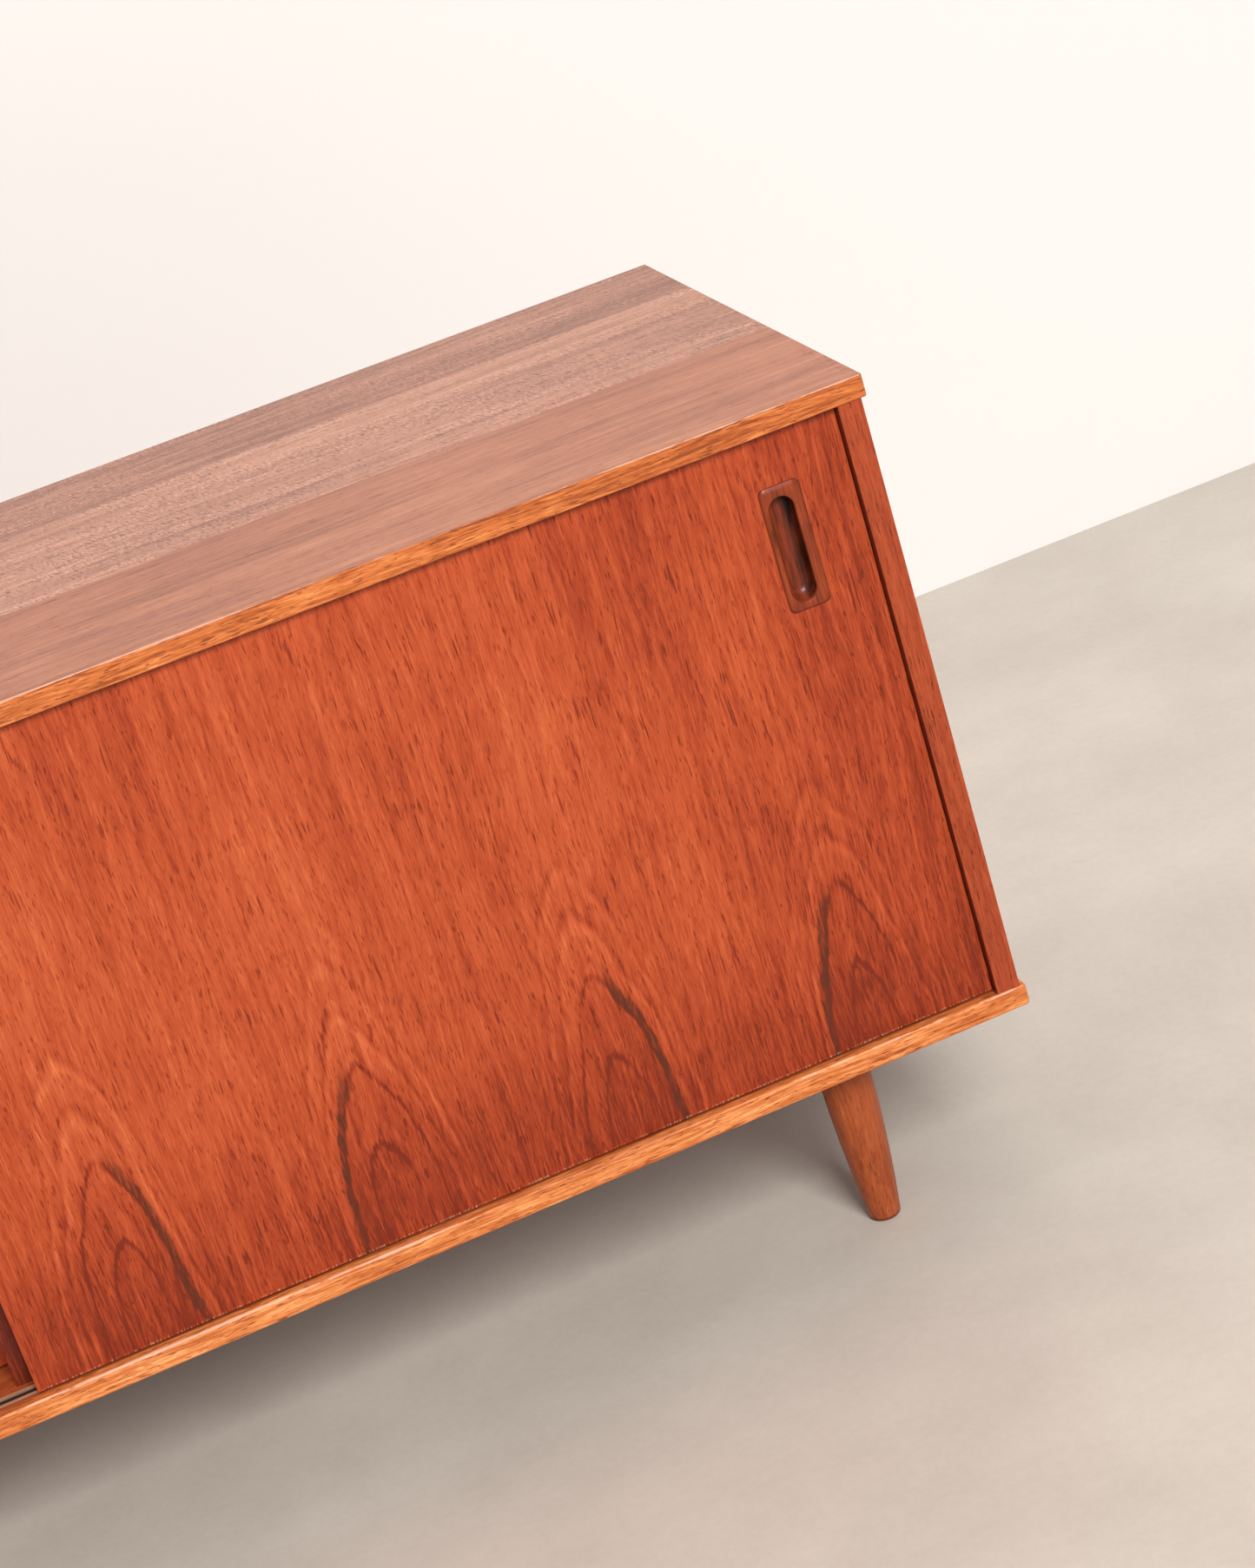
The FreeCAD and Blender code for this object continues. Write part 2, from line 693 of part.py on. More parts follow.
def door_glides(label, side):
    """Nylon glides of a door: two that run in the track and two that guide its head."""
    y_low = value("%s - glide_thick / 2" % DOOR_MIDDLE)
    foot = (value("%s + glide_slack" % TRACK_FLOOR), value("%s + glide_root" % DOOR_LOW))
    rise = value("top_groove_depth") - value("glide_root") / 2
    head = (value("%s - glide_root" % DOOR_HIGH), value(CEILING) + rise)
    shapes = []
    for low, high in glide_places(side):
        for z_low, z_high in (foot, head):
            corner = FreeCAD.Vector(value(low), y_low, z_low)
            block = Part.makeBox(value(high) - value(low), value("glide_thick"),
                                 z_high - z_low, corner)
            shapes.append(block)
    group(label, shapes)


def sliding_door(name, side):
    """One door: panel, solid edge strips, grip and glides."""
    door_panel(name + "_door_panel", side)
    y = (DOOR_FRONT, DOOR_BACK)
    z = (DOOR_LOW, DOOR_HIGH)
    strip(name + "_door_inner_lipping",
          across(side, DOOR_INNER, "%s + door_lipping" % DOOR_INNER), y, z)
    strip(name + "_door_outer_lipping",
          across(side, "%s - door_lipping" % DOOR_OUTER, DOOR_OUTER), y, z)
    door_grip(name + "_door_grip", side)
    door_glides(name + "_door_glides", side)


# ---------------------------------------------------------------- shelves

def shelf(label, side):
    """Loose shelf of a side bay."""
    x = across(side, "%s + shelf_gap" % DIVIDER_FAR, "%s - shelf_gap" % SIDE_INNER)
    body = board(label, x, (SHELF_FRONT, SHELF_REAR), (SHELF_LOW, "%s + shelf_thick" % SHELF_LOW))
    front = value(SHELF_FRONT)
    round_edges(body, "shelf_round", lambda edge: abs(edge.tangentAt(0).x) > 0.9 and all(
        abs(vertex.Point.y - front) < 1e-6 for vertex in edge.Vertexes))


def shelf_pins():
    """Brass pins with a collar, four under each shelf."""
    radius = value("pin_radius")
    slack = value("hole_slack")
    bore = value("pin_bore") - slack
    collar = value("pin_collar")
    thick = value("pin_collar_thick")
    reach = value("pin_reach")
    neck = radius - 2 * slack
    profile = [(-bore, 0), (-bore, radius), (0, radius), (0, collar), (thick, collar),
               (thick, neck), (reach, neck), (reach, 0)]
    level = value("%s - pin_radius" % SHELF_LOW)
    shapes = []
    for side in SIDES.values():
        for face, inward in ((SIDE_INNER, -side), (DIVIDER_FAR, side)):
            for row in ("pin_front", "pin_rear"):
                place = FreeCAD.Vector(side * value(face), value("%s + %s" % (FRONT, row)), level)
                shapes.append(turned(profile, place, FreeCAD.Vector(inward, 0, 0)))
    group("shelf_pins", shapes)


# ---------------------------------------------------------------- legs

def leg(label, side, end):
    """Turned leg with a gently bellied taper and a rounded foot."""
    body = new_body(label)
    sketch = new_sketch(body, label + "_profile", "XZ_Plane")
    top = FreeCAD.Vector(value("leg_top_radius"), value("leg_length"), 0)
    foot = FreeCAD.Vector(value("leg_foot_radius"), 0, 0)
    middle = (top + foot) * 0.5 + FreeCAD.Vector(value("leg_belly"), 0, 0)
    belly = sketch.addGeometry(Part.Arc(foot, middle, top), False)
    head = sketch.addGeometry(Part.LineSegment(top, FreeCAD.Vector(0, top.y, 0)), False)
    axis = sketch.addGeometry(
        Part.LineSegment(FreeCAD.Vector(0, top.y, 0), FreeCAD.Vector(0, 0, 0)), False)
    base = sketch.addGeometry(Part.LineSegment(FreeCAD.Vector(0, 0, 0), foot), False)
    curve = sketch.Geometry[belly]
    forwards = (curve.StartPoint - foot).Length < 1e-6
    foot_end, top_end = (1, 2) if forwards else (2, 1)
    sketch.addConstraint(Sketcher.Constraint("Coincident", belly, top_end, head, 1))
    sketch.addConstraint(Sketcher.Constraint("Coincident", head, 2, axis, 1))
    sketch.addConstraint(Sketcher.Constraint("Coincident", axis, 2, base, 1))
    sketch.addConstraint(Sketcher.Constraint("Coincident", base, 2, belly, foot_end))
    pin_point(sketch, belly, top_end, "leg_top_radius", "leg_length")
    pin_point(sketch, axis, 1, "0", "leg_length")
    pin_point(sketch, axis, 2, "0", "0")
    pin_point(sketch, base, 2, "leg_foot_radius", "0")
    half_chord = "(sqrt((leg_top_radius - leg_foot_radius)^2 + leg_length^2) / 2)"
    bend = "(%s^2 + leg_belly^2) / (2 * leg_belly)" % half_chord
    rule = sketch.addConstraint(Sketcher.Constraint("Radius", belly, value(bend)))
    bind(sketch, "Constraints[%d]" % rule, bend)
    turning = body.newObject("PartDesign::Revolution", "Turning")
    turning.Profile = sketch
    turning.ReferenceAxis = (sketch, ["V_Axis"])
    turning.Angle = 360
    doc.recompute()
    round_edges(body, "leg_foot_round", lambda edge: all(
        abs(vertex.Point.z) < 1e-6 for vertex in edge.Vertexes) and edge.Length > 1)
    socket = new_sketch(body, label + "_socket", "XY_Plane", "leg_length")
    add_circle(socket, "0", "0", "stud_radius + hole_slack")
    pocket(body, socket, "stud_in_leg + hole_slack", False)
    bind(body, "Placement.Base.x", "%d * %s" % (side, LEG_X))
    bind(body, "Placement.Base.y", "%d * %s" % (end, LEG_Y))


def leg_fittings():
    """Steel studs in the legs' heads and the brass sleeves that they screw into."""
    radius = value("stud_radius")
    slack = value("hole_slack")
    level = value("leg_length")
    down = value("stud_in_leg")
    up = value("stud_in_board")
    sleeve = value("insert_radius")
    depth = value("insert_depth")
    bevel = radius / 4
    stud_profile = [(-down, 0), (-down + radius, radius), (up - bevel, radius),
                    (up, radius - bevel), (up, 0)]
    studs = []
    inserts = []
    for x_sign in (-1, 1):
        for y_sign in (-1, 1):
            place = FreeCAD.Vector(x_sign * value(LEG_X), y_sign * value(LEG_Y), level)
            studs.append(turned(stud_profile, place, FreeCAD.Vector(0, 0, 1)))
            outer = Part.makeCylinder(sleeve, depth, place)
            inserts.append(outer.cut(Part.makeCylinder(radius + slack, depth, place)))
    group("leg_studs", studs)
    group("leg_inserts", inserts)


# ---------------------------------------------------------------- drawers

def drawer_floor(index):
    """Level of the lower edge of a drawer's front, the first drawer being the top one."""
    return "(%s + drawer_gap + %s * %d)" % (FLOOR, DRAWER_PITCH, DRAWER_COUNT - 1 - index)


def drawer_front(label, low):
    """Front board, housed for the sides and grooved for the bottom."""
    reach = "(middle_bay_width / 2 - drawer_front_edge_gap)"
    body = board(label, ("-" + reach, reach), (DRAWER_FACE, DRAWER_FACE_REAR),
                 (low, "%s + %s" % (low, DRAWER_HEIGHT)))
    housings = new_sketch(body, label + "_housings", "XY_Plane", "%s + drawer_side_low" % low)
    inner = "%s - drawer_housing" % DRAWER_FACE_REAR
    for side in SIDES.values():
        x = across(side, DRAWER_SIDE_INNER, DRAWER_SIDE_OUTER)
        add_rectangle(housings, x[0], inner, x[1], DRAWER_FACE_REAR)
    pocket(body, housings, "drawer_side_height", True)
    groove = new_sketch(body, label + "_groove", "XY_Plane",
                        "%s + drawer_side_low + drawer_bottom_rise" % low)
    add_rectangle(groove, "-" + DRAWER_SIDE_INNER,
                  "%s - drawer_bottom_groove" % DRAWER_FACE_REAR,
                  DRAWER_SIDE_INNER, DRAWER_FACE_REAR)
    pocket(body, groove, "drawer_bottom_thick + drawer_fit", True)


def drawer_side(label, low, side):
    """Side board, ploughed outside for its runner and inside for the bottom."""
    body = new_body(label)
    foot = "(%s + drawer_side_low)" % low
    start = "(%s - drawer_housing)" % DRAWER_FACE_REAR
    section = new_sketch(body, label + "_section", "XZ_Plane", "-" + DRAWER_END)
    slot_low = "%s + runner_rise - runner_slot / 2" % low
    slot_high = "%s + runner_rise + runner_slot / 2" % low
    slot_x = "%s - runner_slot_depth" % DRAWER_SIDE_OUTER
    plough_low = "%s + drawer_bottom_rise" % foot
    plough_high = "%s + drawer_bottom_rise + drawer_bottom_thick + drawer_fit" % foot
    plough_x = "%s + drawer_bottom_groove" % DRAWER_SIDE_INNER
    head = "%s + drawer_side_height" % foot
    corners = [
        (DRAWER_SIDE_OUTER, foot), (DRAWER_SIDE_OUTER, slot_low), (slot_x, slot_low),
        (slot_x, slot_high), (DRAWER_SIDE_OUTER, slot_high), (DRAWER_SIDE_OUTER, head),
        (DRAWER_SIDE_INNER, head), (DRAWER_SIDE_INNER, plough_high), (plough_x, plough_high),
        (plough_x, plough_low), (DRAWER_SIDE_INNER, plough_low), (DRAWER_SIDE_INNER, foot),
    ]
    add_outline(section, [("%d * (%s)" % (side, x), z) for x, z in corners])
    pad(body, section, "%s - %s" % (DRAWER_END, start))
    housing = new_sketch(body, label + "_housing", "XY_Plane", plough_high)
    x = across(side, DRAWER_SIDE_INNER, "%s + drawer_back_housing" % DRAWER_SIDE_INNER)
    add_rectangle(housing, x[0], DRAWER_BACK_FRONT,
                  x[1], "%s + drawer_back_thick" % DRAWER_BACK_FRONT)
    pocket(body, housing, "drawer_side_height", True)


def drawer_pull(label, low):
    """Carved wooden pull: a neck on the drawer's front with a lip that hooks upwards."""
    body = new_body(label)
    middle = "(%s + %s / 2)" % (low, DRAWER_HEIGHT)
    half = "(pull_length / 2)"
    foot = "(%s - pull_height / 2)" % middle
    section = new_sketch(body, label + "_section", "YZ_Plane", "-" + half)
    tip = "(%s - pull_reach)" % DRAWER_FACE
    add_outline(section, [
        (DRAWER_FACE, foot),
        (DRAWER_FACE, "%s + pull_neck" % foot),
        ("%s + pull_lip" % tip, "%s + pull_neck" % foot),
        ("%s + pull_lip" % tip, "%s + pull_height" % foot),
        (tip, "%s + pull_height" % foot),
        (tip, foot),
    ])
    pad(body, section, "2 * " + half)
    front = value(tip)

    def is_front_edge(edge):
        on_tip = all(abs(vertex.Point.y - front) < 1e-6 for vertex in edge.Vertexes)
        return on_tip and edge.Length > 1

    round_edges(body, "pull_round", is_front_edge)
    inner = value("%s + pull_lip" % tip)
    crest = value("%s + pull_height" % foot)
    round_edges(body, "pull_round / 2", lambda edge: abs(edge.tangentAt(0).x) > 0.9 and all(
        abs(vertex.Point.y - inner) < 1e-6 and abs(vertex.Point.z - crest) < 1e-6
        for vertex in edge.Vertexes))


def drawer(index):
    """One drawer: front, two sides, back, bottom and pull."""
    name = "drawer_%d" % (index + 1)
    low = drawer_floor(index)
    foot = "(%s + drawer_side_low)" % low
    plough_low = "%s + drawer_bottom_rise" % foot
    plough_high = "%s + drawer_bottom_rise + drawer_bottom_thick + drawer_fit" % foot
    drawer_front(name + "_front", low)
    for side_name, side in SIDES.items():
        drawer_side("%s_%s_side" % (name, side_name), low, side)
    housed = "(%s + drawer_back_housing)" % DRAWER_SIDE_INNER
    strip(name + "_back", ("-" + housed, housed),
          (DRAWER_BACK_FRONT, "%s + drawer_back_thick" % DRAWER_BACK_FRONT),
          (plough_high, "%s + drawer_side_height" % foot))
    ploughed = "(%s + drawer_bottom_groove - drawer_fit)" % DRAWER_SIDE_INNER
    strip(name + "_bottom", ("-" + ploughed, ploughed),
          ("%s - drawer_bottom_groove + drawer_fit" % DRAWER_FACE_REAR, DRAWER_END),
          ("%s + drawer_fit / 2" % plough_low,
           "%s + drawer_fit / 2 + drawer_bottom_thick" % plough_low))
    drawer_pull(name + "_pull", low)


def drawer_runners():
    """Hardwood strips on the dividers that the drawers' sides slide on."""
    width = value("runner_width")
    height = value("runner_height")
    start = value("%s + drawer_fit" % DRAWER_FACE_REAR)
    length = value(BACK_FRONT) - start
    shapes = []
    for index in range(DRAWER_COUNT):
        middle = value("%s + runner_rise" % drawer_floor(index))
        for side in SIDES.values():
            wall = value(DIVIDER_NEAR)
            x_low = wall - width if side > 0 else -wall
            corner = FreeCAD.Vector(x_low, start, middle - height / 2)
            shapes.append(Part.makeBox(width, length, height, corner))
    group("drawer_runners", shapes)


# ---------------------------------------------------------------- the whole sideboard

top_panel()
bottom_panel()
board_lippings()
for side_name, side in SIDES.items():
    side_panel(side_name + "_side_panel", side)
    divider(side_name + "_divider", side)
    sliding_door(side_name, side)
    shelf(side_name + "_shelf", side)
    leg("front_%s_leg" % side_name, side, -1)
    leg("rear_%s_leg" % side_name, side, 1)
back_panel()
back_screws()
door_track()
shelf_pins()
leg_fittings()
carcass_dowels()
drawer_runners()
for drawer_index in range(DRAWER_COUNT):
    drawer(drawer_index)
doc.recompute()

# ---------------------------------------------------------------- checks and files

HELPERS = {"back_sheet", "back_drills"}
PIECE_TYPES = ("PartDesign::Body", "Part::Box", "Part::Cut", "Part::Feature")

for item in doc.Objects:
    if "Invalid" in item.State or "Error" in item.State:
        raise RuntimeError("%s failed to build: %s" % (item.Name, item.State))

pieces = []
for item in doc.Objects:
    if item.TypeId in PIECE_TYPES and item.Label not in HELPERS:
        if item.Shape.isNull() or not item.Shape.isValid():
            raise RuntimeError("%s has no valid shape" % item.Label)
        pieces.append(item)

os.makedirs("parts", exist_ok=True)
for piece in pieces:
    piece.Shape.exportStep(os.path.join("parts", piece.Label + ".step"))
print("%d pieces written" % len(pieces))
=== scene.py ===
import math
import bmesh
import bpy
from mathutils import Matrix, Vector


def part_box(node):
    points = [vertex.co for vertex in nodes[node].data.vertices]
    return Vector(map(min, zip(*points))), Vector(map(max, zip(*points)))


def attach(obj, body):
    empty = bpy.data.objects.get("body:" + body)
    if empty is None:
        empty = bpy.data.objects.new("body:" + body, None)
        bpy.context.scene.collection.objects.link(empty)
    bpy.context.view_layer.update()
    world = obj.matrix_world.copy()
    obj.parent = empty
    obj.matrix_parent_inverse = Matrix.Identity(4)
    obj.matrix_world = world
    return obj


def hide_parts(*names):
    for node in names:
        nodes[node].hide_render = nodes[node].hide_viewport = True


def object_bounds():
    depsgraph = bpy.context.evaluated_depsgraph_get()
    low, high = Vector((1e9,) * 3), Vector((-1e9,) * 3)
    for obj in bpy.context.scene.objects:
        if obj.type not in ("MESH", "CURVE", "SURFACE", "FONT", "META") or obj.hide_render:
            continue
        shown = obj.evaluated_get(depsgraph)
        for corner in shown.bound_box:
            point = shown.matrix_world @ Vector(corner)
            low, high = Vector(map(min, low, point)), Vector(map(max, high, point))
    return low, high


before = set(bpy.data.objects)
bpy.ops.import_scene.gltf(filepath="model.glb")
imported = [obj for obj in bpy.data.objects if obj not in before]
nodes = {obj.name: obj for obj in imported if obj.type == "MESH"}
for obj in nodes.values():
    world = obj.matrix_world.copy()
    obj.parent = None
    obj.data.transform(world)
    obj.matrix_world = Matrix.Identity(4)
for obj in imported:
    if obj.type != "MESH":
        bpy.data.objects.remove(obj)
cad_box = [list(corner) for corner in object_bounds()]
low = Vector(cad_box[0])
high = Vector(cad_box[1])

# ---------------------------------------------------------------- places read from the frame

door_low, door_high = (Vector(c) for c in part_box("right_door_panel"))
left_low = Vector(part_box("left_door_panel")[0])
board_under, board_top = (corner[2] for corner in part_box("bottom_front_lipping"))
LEAVES_PER_DOOR = 4
LEAF = (door_high.x - door_low.x) / LEAVES_PER_DOOR


# ---------------------------------------------------------------- node helpers

class Shader:
    """A material whose nodes are made by short calls; sockets are passed from call to call."""

    def __init__(self, name):
        self.material = bpy.data.materials.new(name)
        self.material.use_nodes = True
        self.tree = self.material.node_tree
        self.tree.nodes.clear()
        self.surface = self.tree.nodes.new("ShaderNodeBsdfPrincipled")
        output = self.tree.nodes.new("ShaderNodeOutputMaterial")
        self.tree.links.new(self.surface.outputs["BSDF"], output.inputs["Surface"])
        place = self.tree.nodes.new("ShaderNodeTexCoord").outputs["Object"]
        split = self.tree.nodes.new("ShaderNodeSeparateXYZ")
        self.tree.links.new(place, split.inputs[0])
        self.axes = {"X": split.outputs[0], "Y": split.outputs[1], "Z": split.outputs[2]}

    def plug(self, socket, source):
        if isinstance(source, (int, float)):
            socket.default_value = source
        elif isinstance(source, (tuple, list)):
            socket.default_value = (*source, 1) if len(source) == 3 else source
        else:
            self.tree.links.new(source, socket)

    def math(self, operation, first, second=0.0, third=0.0, clamp=False):
        node = self.tree.nodes.new("ShaderNodeMath")
        node.operation = operation
        node.use_clamp = clamp
        for socket, source in zip(node.inputs, (first, second, third)):
            self.plug(socket, source)
        return node.outputs[0]

    def add(self, first, second):
        return self.math("ADD", first, second)

    def sub(self, first, second):
        return self.math("SUBTRACT", first, second)

    def mul(self, first, second):
        return self.math("MULTIPLY", first, second)

    def ramp(self, source, start, end, low_value=0.0, high_value=1.0):
        """A smooth step of source from start to end."""
        node = self.tree.nodes.new("ShaderNodeMapRange")
        node.interpolation_type = "SMOOTHSTEP"
        for socket, value in zip(node.inputs, (source, start, end, low_value, high_value)):
            self.plug(socket, value)
        return node.outputs[0]

    def vector(self, x, y, z):
        node = self.tree.nodes.new("ShaderNodeCombineXYZ")
        for socket, source in zip(node.inputs, (x, y, z)):
            self.plug(socket, source)
        return node.outputs[0]

    def noise(self, vector, scale=1.0, detail=2.0, roughness=0.5, distortion=0.0):
        """Noise from 0 to 1, with its middle at 0.5."""
        node = self.tree.nodes.new("ShaderNodeTexNoise")
        self.plug(node.inputs["Vector"], vector)
        node.inputs["Scale"].default_value = scale
        node.inputs["Detail"].default_value = detail
        node.inputs["Roughness"].default_value = roughness
        node.inputs["Distortion"].default_value = distortion
        return node.outputs[0]

    def colours(self, source, stops):
        node = self.tree.nodes.new("ShaderNodeValToRGB")
        self.plug(node.inputs[0], source)
        elements = node.color_ramp.elements
        while len(elements) < len(stops):
            elements.new(1.0)
        for element, (place, colour) in zip(elements, stops):
            element.position = place
            element.color = (*colour, 1)
        return node.outputs[0]

    def mix(self, amount, first, second, blend="MIX"):
        node = self.tree.nodes.new("ShaderNodeMix")
        node.data_type = "RGBA"
        node.blend_type = blend
        self.plug(node.inputs[0], amount)
        self.plug(node.inputs[6], first)
        self.plug(node.inputs[7], second)
        return node.outputs[2]

    def bump(self, height, distance, strength=1.0):
        node = self.tree.nodes.new("ShaderNodeBump")
        node.inputs["Distance"].default_value = distance
        node.inputs["Strength"].default_value = strength
        self.plug(node.inputs["Height"], height)
        self.tree.links.new(node.outputs[0], self.surface.inputs["Normal"])

    def set(self, **sockets):
        for name, source in sockets.items():
            self.plug(self.surface.inputs[name.replace("_", " ")], source)

    def streaks(self, grain, width, length, seed=0.0, detail=2.0, roughness=0.65):
        """Noise about zero; its marks are width across the grain and length along it, in metres."""
        across, along, depth = grain
        vector = self.vector(self.mul(across, 1 / width), self.mul(along, 1 / length),
                             self.add(self.mul(depth, 1 / width), seed))
        return self.sub(self.noise(vector, detail=detail, roughness=roughness), 0.5)

    def dashes(self, grain, width, length, level, seed=0.0):
        """Scattered short marks along the grain, 0 or 1; a lower level makes more of them."""
        marks = self.streaks(grain, width, length, seed, detail=1.0)
        return self.ramp(marks, level, self.add(level, 0.05))

    def peak(self, source, centre, width):
        """1 where source is at centre, falling to 0 at width from it."""
        away = self.math("ABSOLUTE", self.sub(source, centre))
        return self.ramp(away, width, 0.0)

    def specks(self, place, spacing, radius, share, seed=0.0):
        """Small round spots, 0 or 1, in a share of cells about as far apart as spacing."""
        node = self.tree.nodes.new("ShaderNodeTexVoronoi")
        across, along, depth = place
        scaled = self.vector(self.mul(across, 1 / spacing), self.mul(along, 1 / spacing), seed)
        self.plug(node.inputs["Vector"], scaled)
        node.inputs["Scale"].default_value = 1.0
        chosen = self.ramp(node.outputs["Color"], 1 - share, 1 - share + 0.01)
        size = radius / spacing
        return self.mul(self.ramp(node.outputs["Distance"], size, size * 0.6), chosen)

    def layered(self, tone, *layers):
        """Adds each (source, amount) to the tone."""
        for source, amount in layers:
            tone = self.add(tone, self.mul(source, amount))
        return tone


# ---------------------------------------------------------------- teak

DOOR_TONES = [
    (0.00, (0.165, 0.016, 0.003)),
    (0.25, (0.295, 0.034, 0.007)),
    (0.50, (0.412, 0.062, 0.016)),
    (0.75, (0.505, 0.095, 0.028)),
    (1.00, (0.620, 0.152, 0.050)),
]
TOP_TONES = [
    (0.00, (0.200, 0.068, 0.040)),
    (0.25, (0.310, 0.112, 0.066)),
    (0.50, (0.395, 0.150, 0.088)),
    (0.75, (0.470, 0.195, 0.120)),
    (1.00, (0.580, 0.265, 0.175)),
]
SOLID_TONES = [
    (0.00, (0.250, 0.055, 0.012)),
    (0.25, (0.430, 0.100, 0.022)),
    (0.50, (0.580, 0.166, 0.042)),
    (0.75, (0.730, 0.268, 0.082)),
    (1.00, (0.850, 0.400, 0.170)),
]
SIDE_TONES = [
    (0.00, (0.120, 0.014, 0.005)),
    (0.25, (0.250, 0.034, 0.009)),
    (0.50, (0.355, 0.056, 0.016)),
    (0.75, (0.430, 0.080, 0.024)),
    (1.00, (0.560, 0.130, 0.044)),
]
LEG_TONES = [
    (0.00, (0.160, 0.030, 0.008)),
    (0.25, (0.270, 0.052, 0.014)),
    (0.50, (0.370, 0.080, 0.022)),
    (0.75, (0.460, 0.115, 0.034)),
    (1.00, (0.580, 0.180, 0.064)),
]
GRIP_TONES = [
    (0.00, (0.040, 0.008, 0.004)),
    (0.50, (0.180, 0.030, 0.010)),
    (1.00, (0.330, 0.066, 0.022)),
]
LACQUER_TONES = [
    (0.16, (0.012, 0.004, 0.002)),
    (0.36, (0.105, 0.018, 0.007)),
    (0.52, (0.225, 0.036, 0.011)),
    (0.72, (0.330, 0.060, 0.018)),
]
BEECH_TONES = [
    (0.0, (0.30, 0.17, 0.08)),
    (0.4, (0.50, 0.33, 0.19)),
    (0.7, (0.62, 0.44, 0.27)),
    (1.0, (0.72, 0.55, 0.37)),
]
PLYWOOD_TONES = [
    (0.0, (0.21, 0.08, 0.035)),
    (0.4, (0.42, 0.185, 0.085)),
    (0.7, (0.52, 0.25, 0.125)),
    (1.0, (0.62, 0.34, 0.18)),
]
PALE_WOOD = (0.78, 0.50, 0.33)
# the pale of a rubbed front arris: partly wear, partly a painted highlight
RUBBED_AND_LIT_WOOD = (0.74, 0.42, 0.30)
MINERAL_STREAK = (0.070, 0.018, 0.006)
TRACK_LOW_TONE = (0.045, 0.016, 0.009)

TEAK = {
    "tone": 0.515, "bands": 0.50, "streaks": 0.60, "lines": 0.78, "fibres": 0.70,
    "blotches": 0.45, "pores": 0.34, "pore_level": 0.16,
}


def teak_layers(shader, grain, look, seed=0.0):
    """Tone from 0, dark, to 1, light, of straight-grained teak, with its fibres and pores."""
    fibres = shader.streaks(grain, 0.0007, 0.012, seed, detail=2.0)
    fine = shader.dashes(grain, 0.0011, 0.010, look["pore_level"], seed + 3.0)
    crowd = shader.streaks(grain, 0.024, 0.110, seed + 5.0)
    coarse_level = shader.sub(look["pore_level"] + 0.03, shader.mul(crowd, 0.35))
    coarse = shader.dashes(grain, 0.0022, 0.024, coarse_level, seed + 6.0)
    pores = shader.math("MAXIMUM", fine, coarse)
    tone = shader.layered(
        look["tone"],
        (shader.streaks(grain, 0.030, 0.900, seed), look["bands"]),
        (shader.streaks(grain, 0.0060, 0.120, seed + 1.0), look["streaks"]),
        (shader.streaks(grain, 0.0018, 0.034, seed + 2.0), look["lines"]),
        (fibres, look["fibres"]),
        (shader.streaks(grain, 0.120, 0.260, seed + 4.0, detail=3.0), look["blotches"]),
        (pores, -look["pores"]))
    return tone, fibres, pores


def finish(shader, fibres, pores, roughness):
    """Satin oil and lacquer: a little sheen that the open pores break."""
    rough = shader.layered(roughness, (fibres, 0.30), (pores, 0.15))
    shader.set(Roughness=rough, IOR=1.5, Specular_IOR_Level=0.25)
    shader.bump(shader.layered(0.0, (fibres, 0.5), (pores, -1.0)), 0.00012)


def book_match(shader, across, start):
    """Leaves of veneer opened like a book: the place in a leaf, mirrored in every other one."""
    offset = shader.sub(across, start)
    place = shader.math("PINGPONG", offset, LEAF)
    number = shader.math("FLOOR", shader.math("DIVIDE", offset, LEAF))
    return place, number


# an arch's middle from its leaf's edge, its width for its height and how pointed it is
HEART = 0.088
ARCH_RISE = 0.235
ARCH_POINT = 1.6
# growth rings: their spacing, how far out they reach, and the two that are drawn dark
RING_PITCH = 0.0098
RINGS_END = 0.066
HEART_EDGE = 0.0345
SMALL_ARCH = 0.0195
OUTLINE_WIDTH = 0.0014
# heights over the door's foot between which a mineral streak fades out
STREAK_TOP = 0.165
STREAK_FULL = 0.115


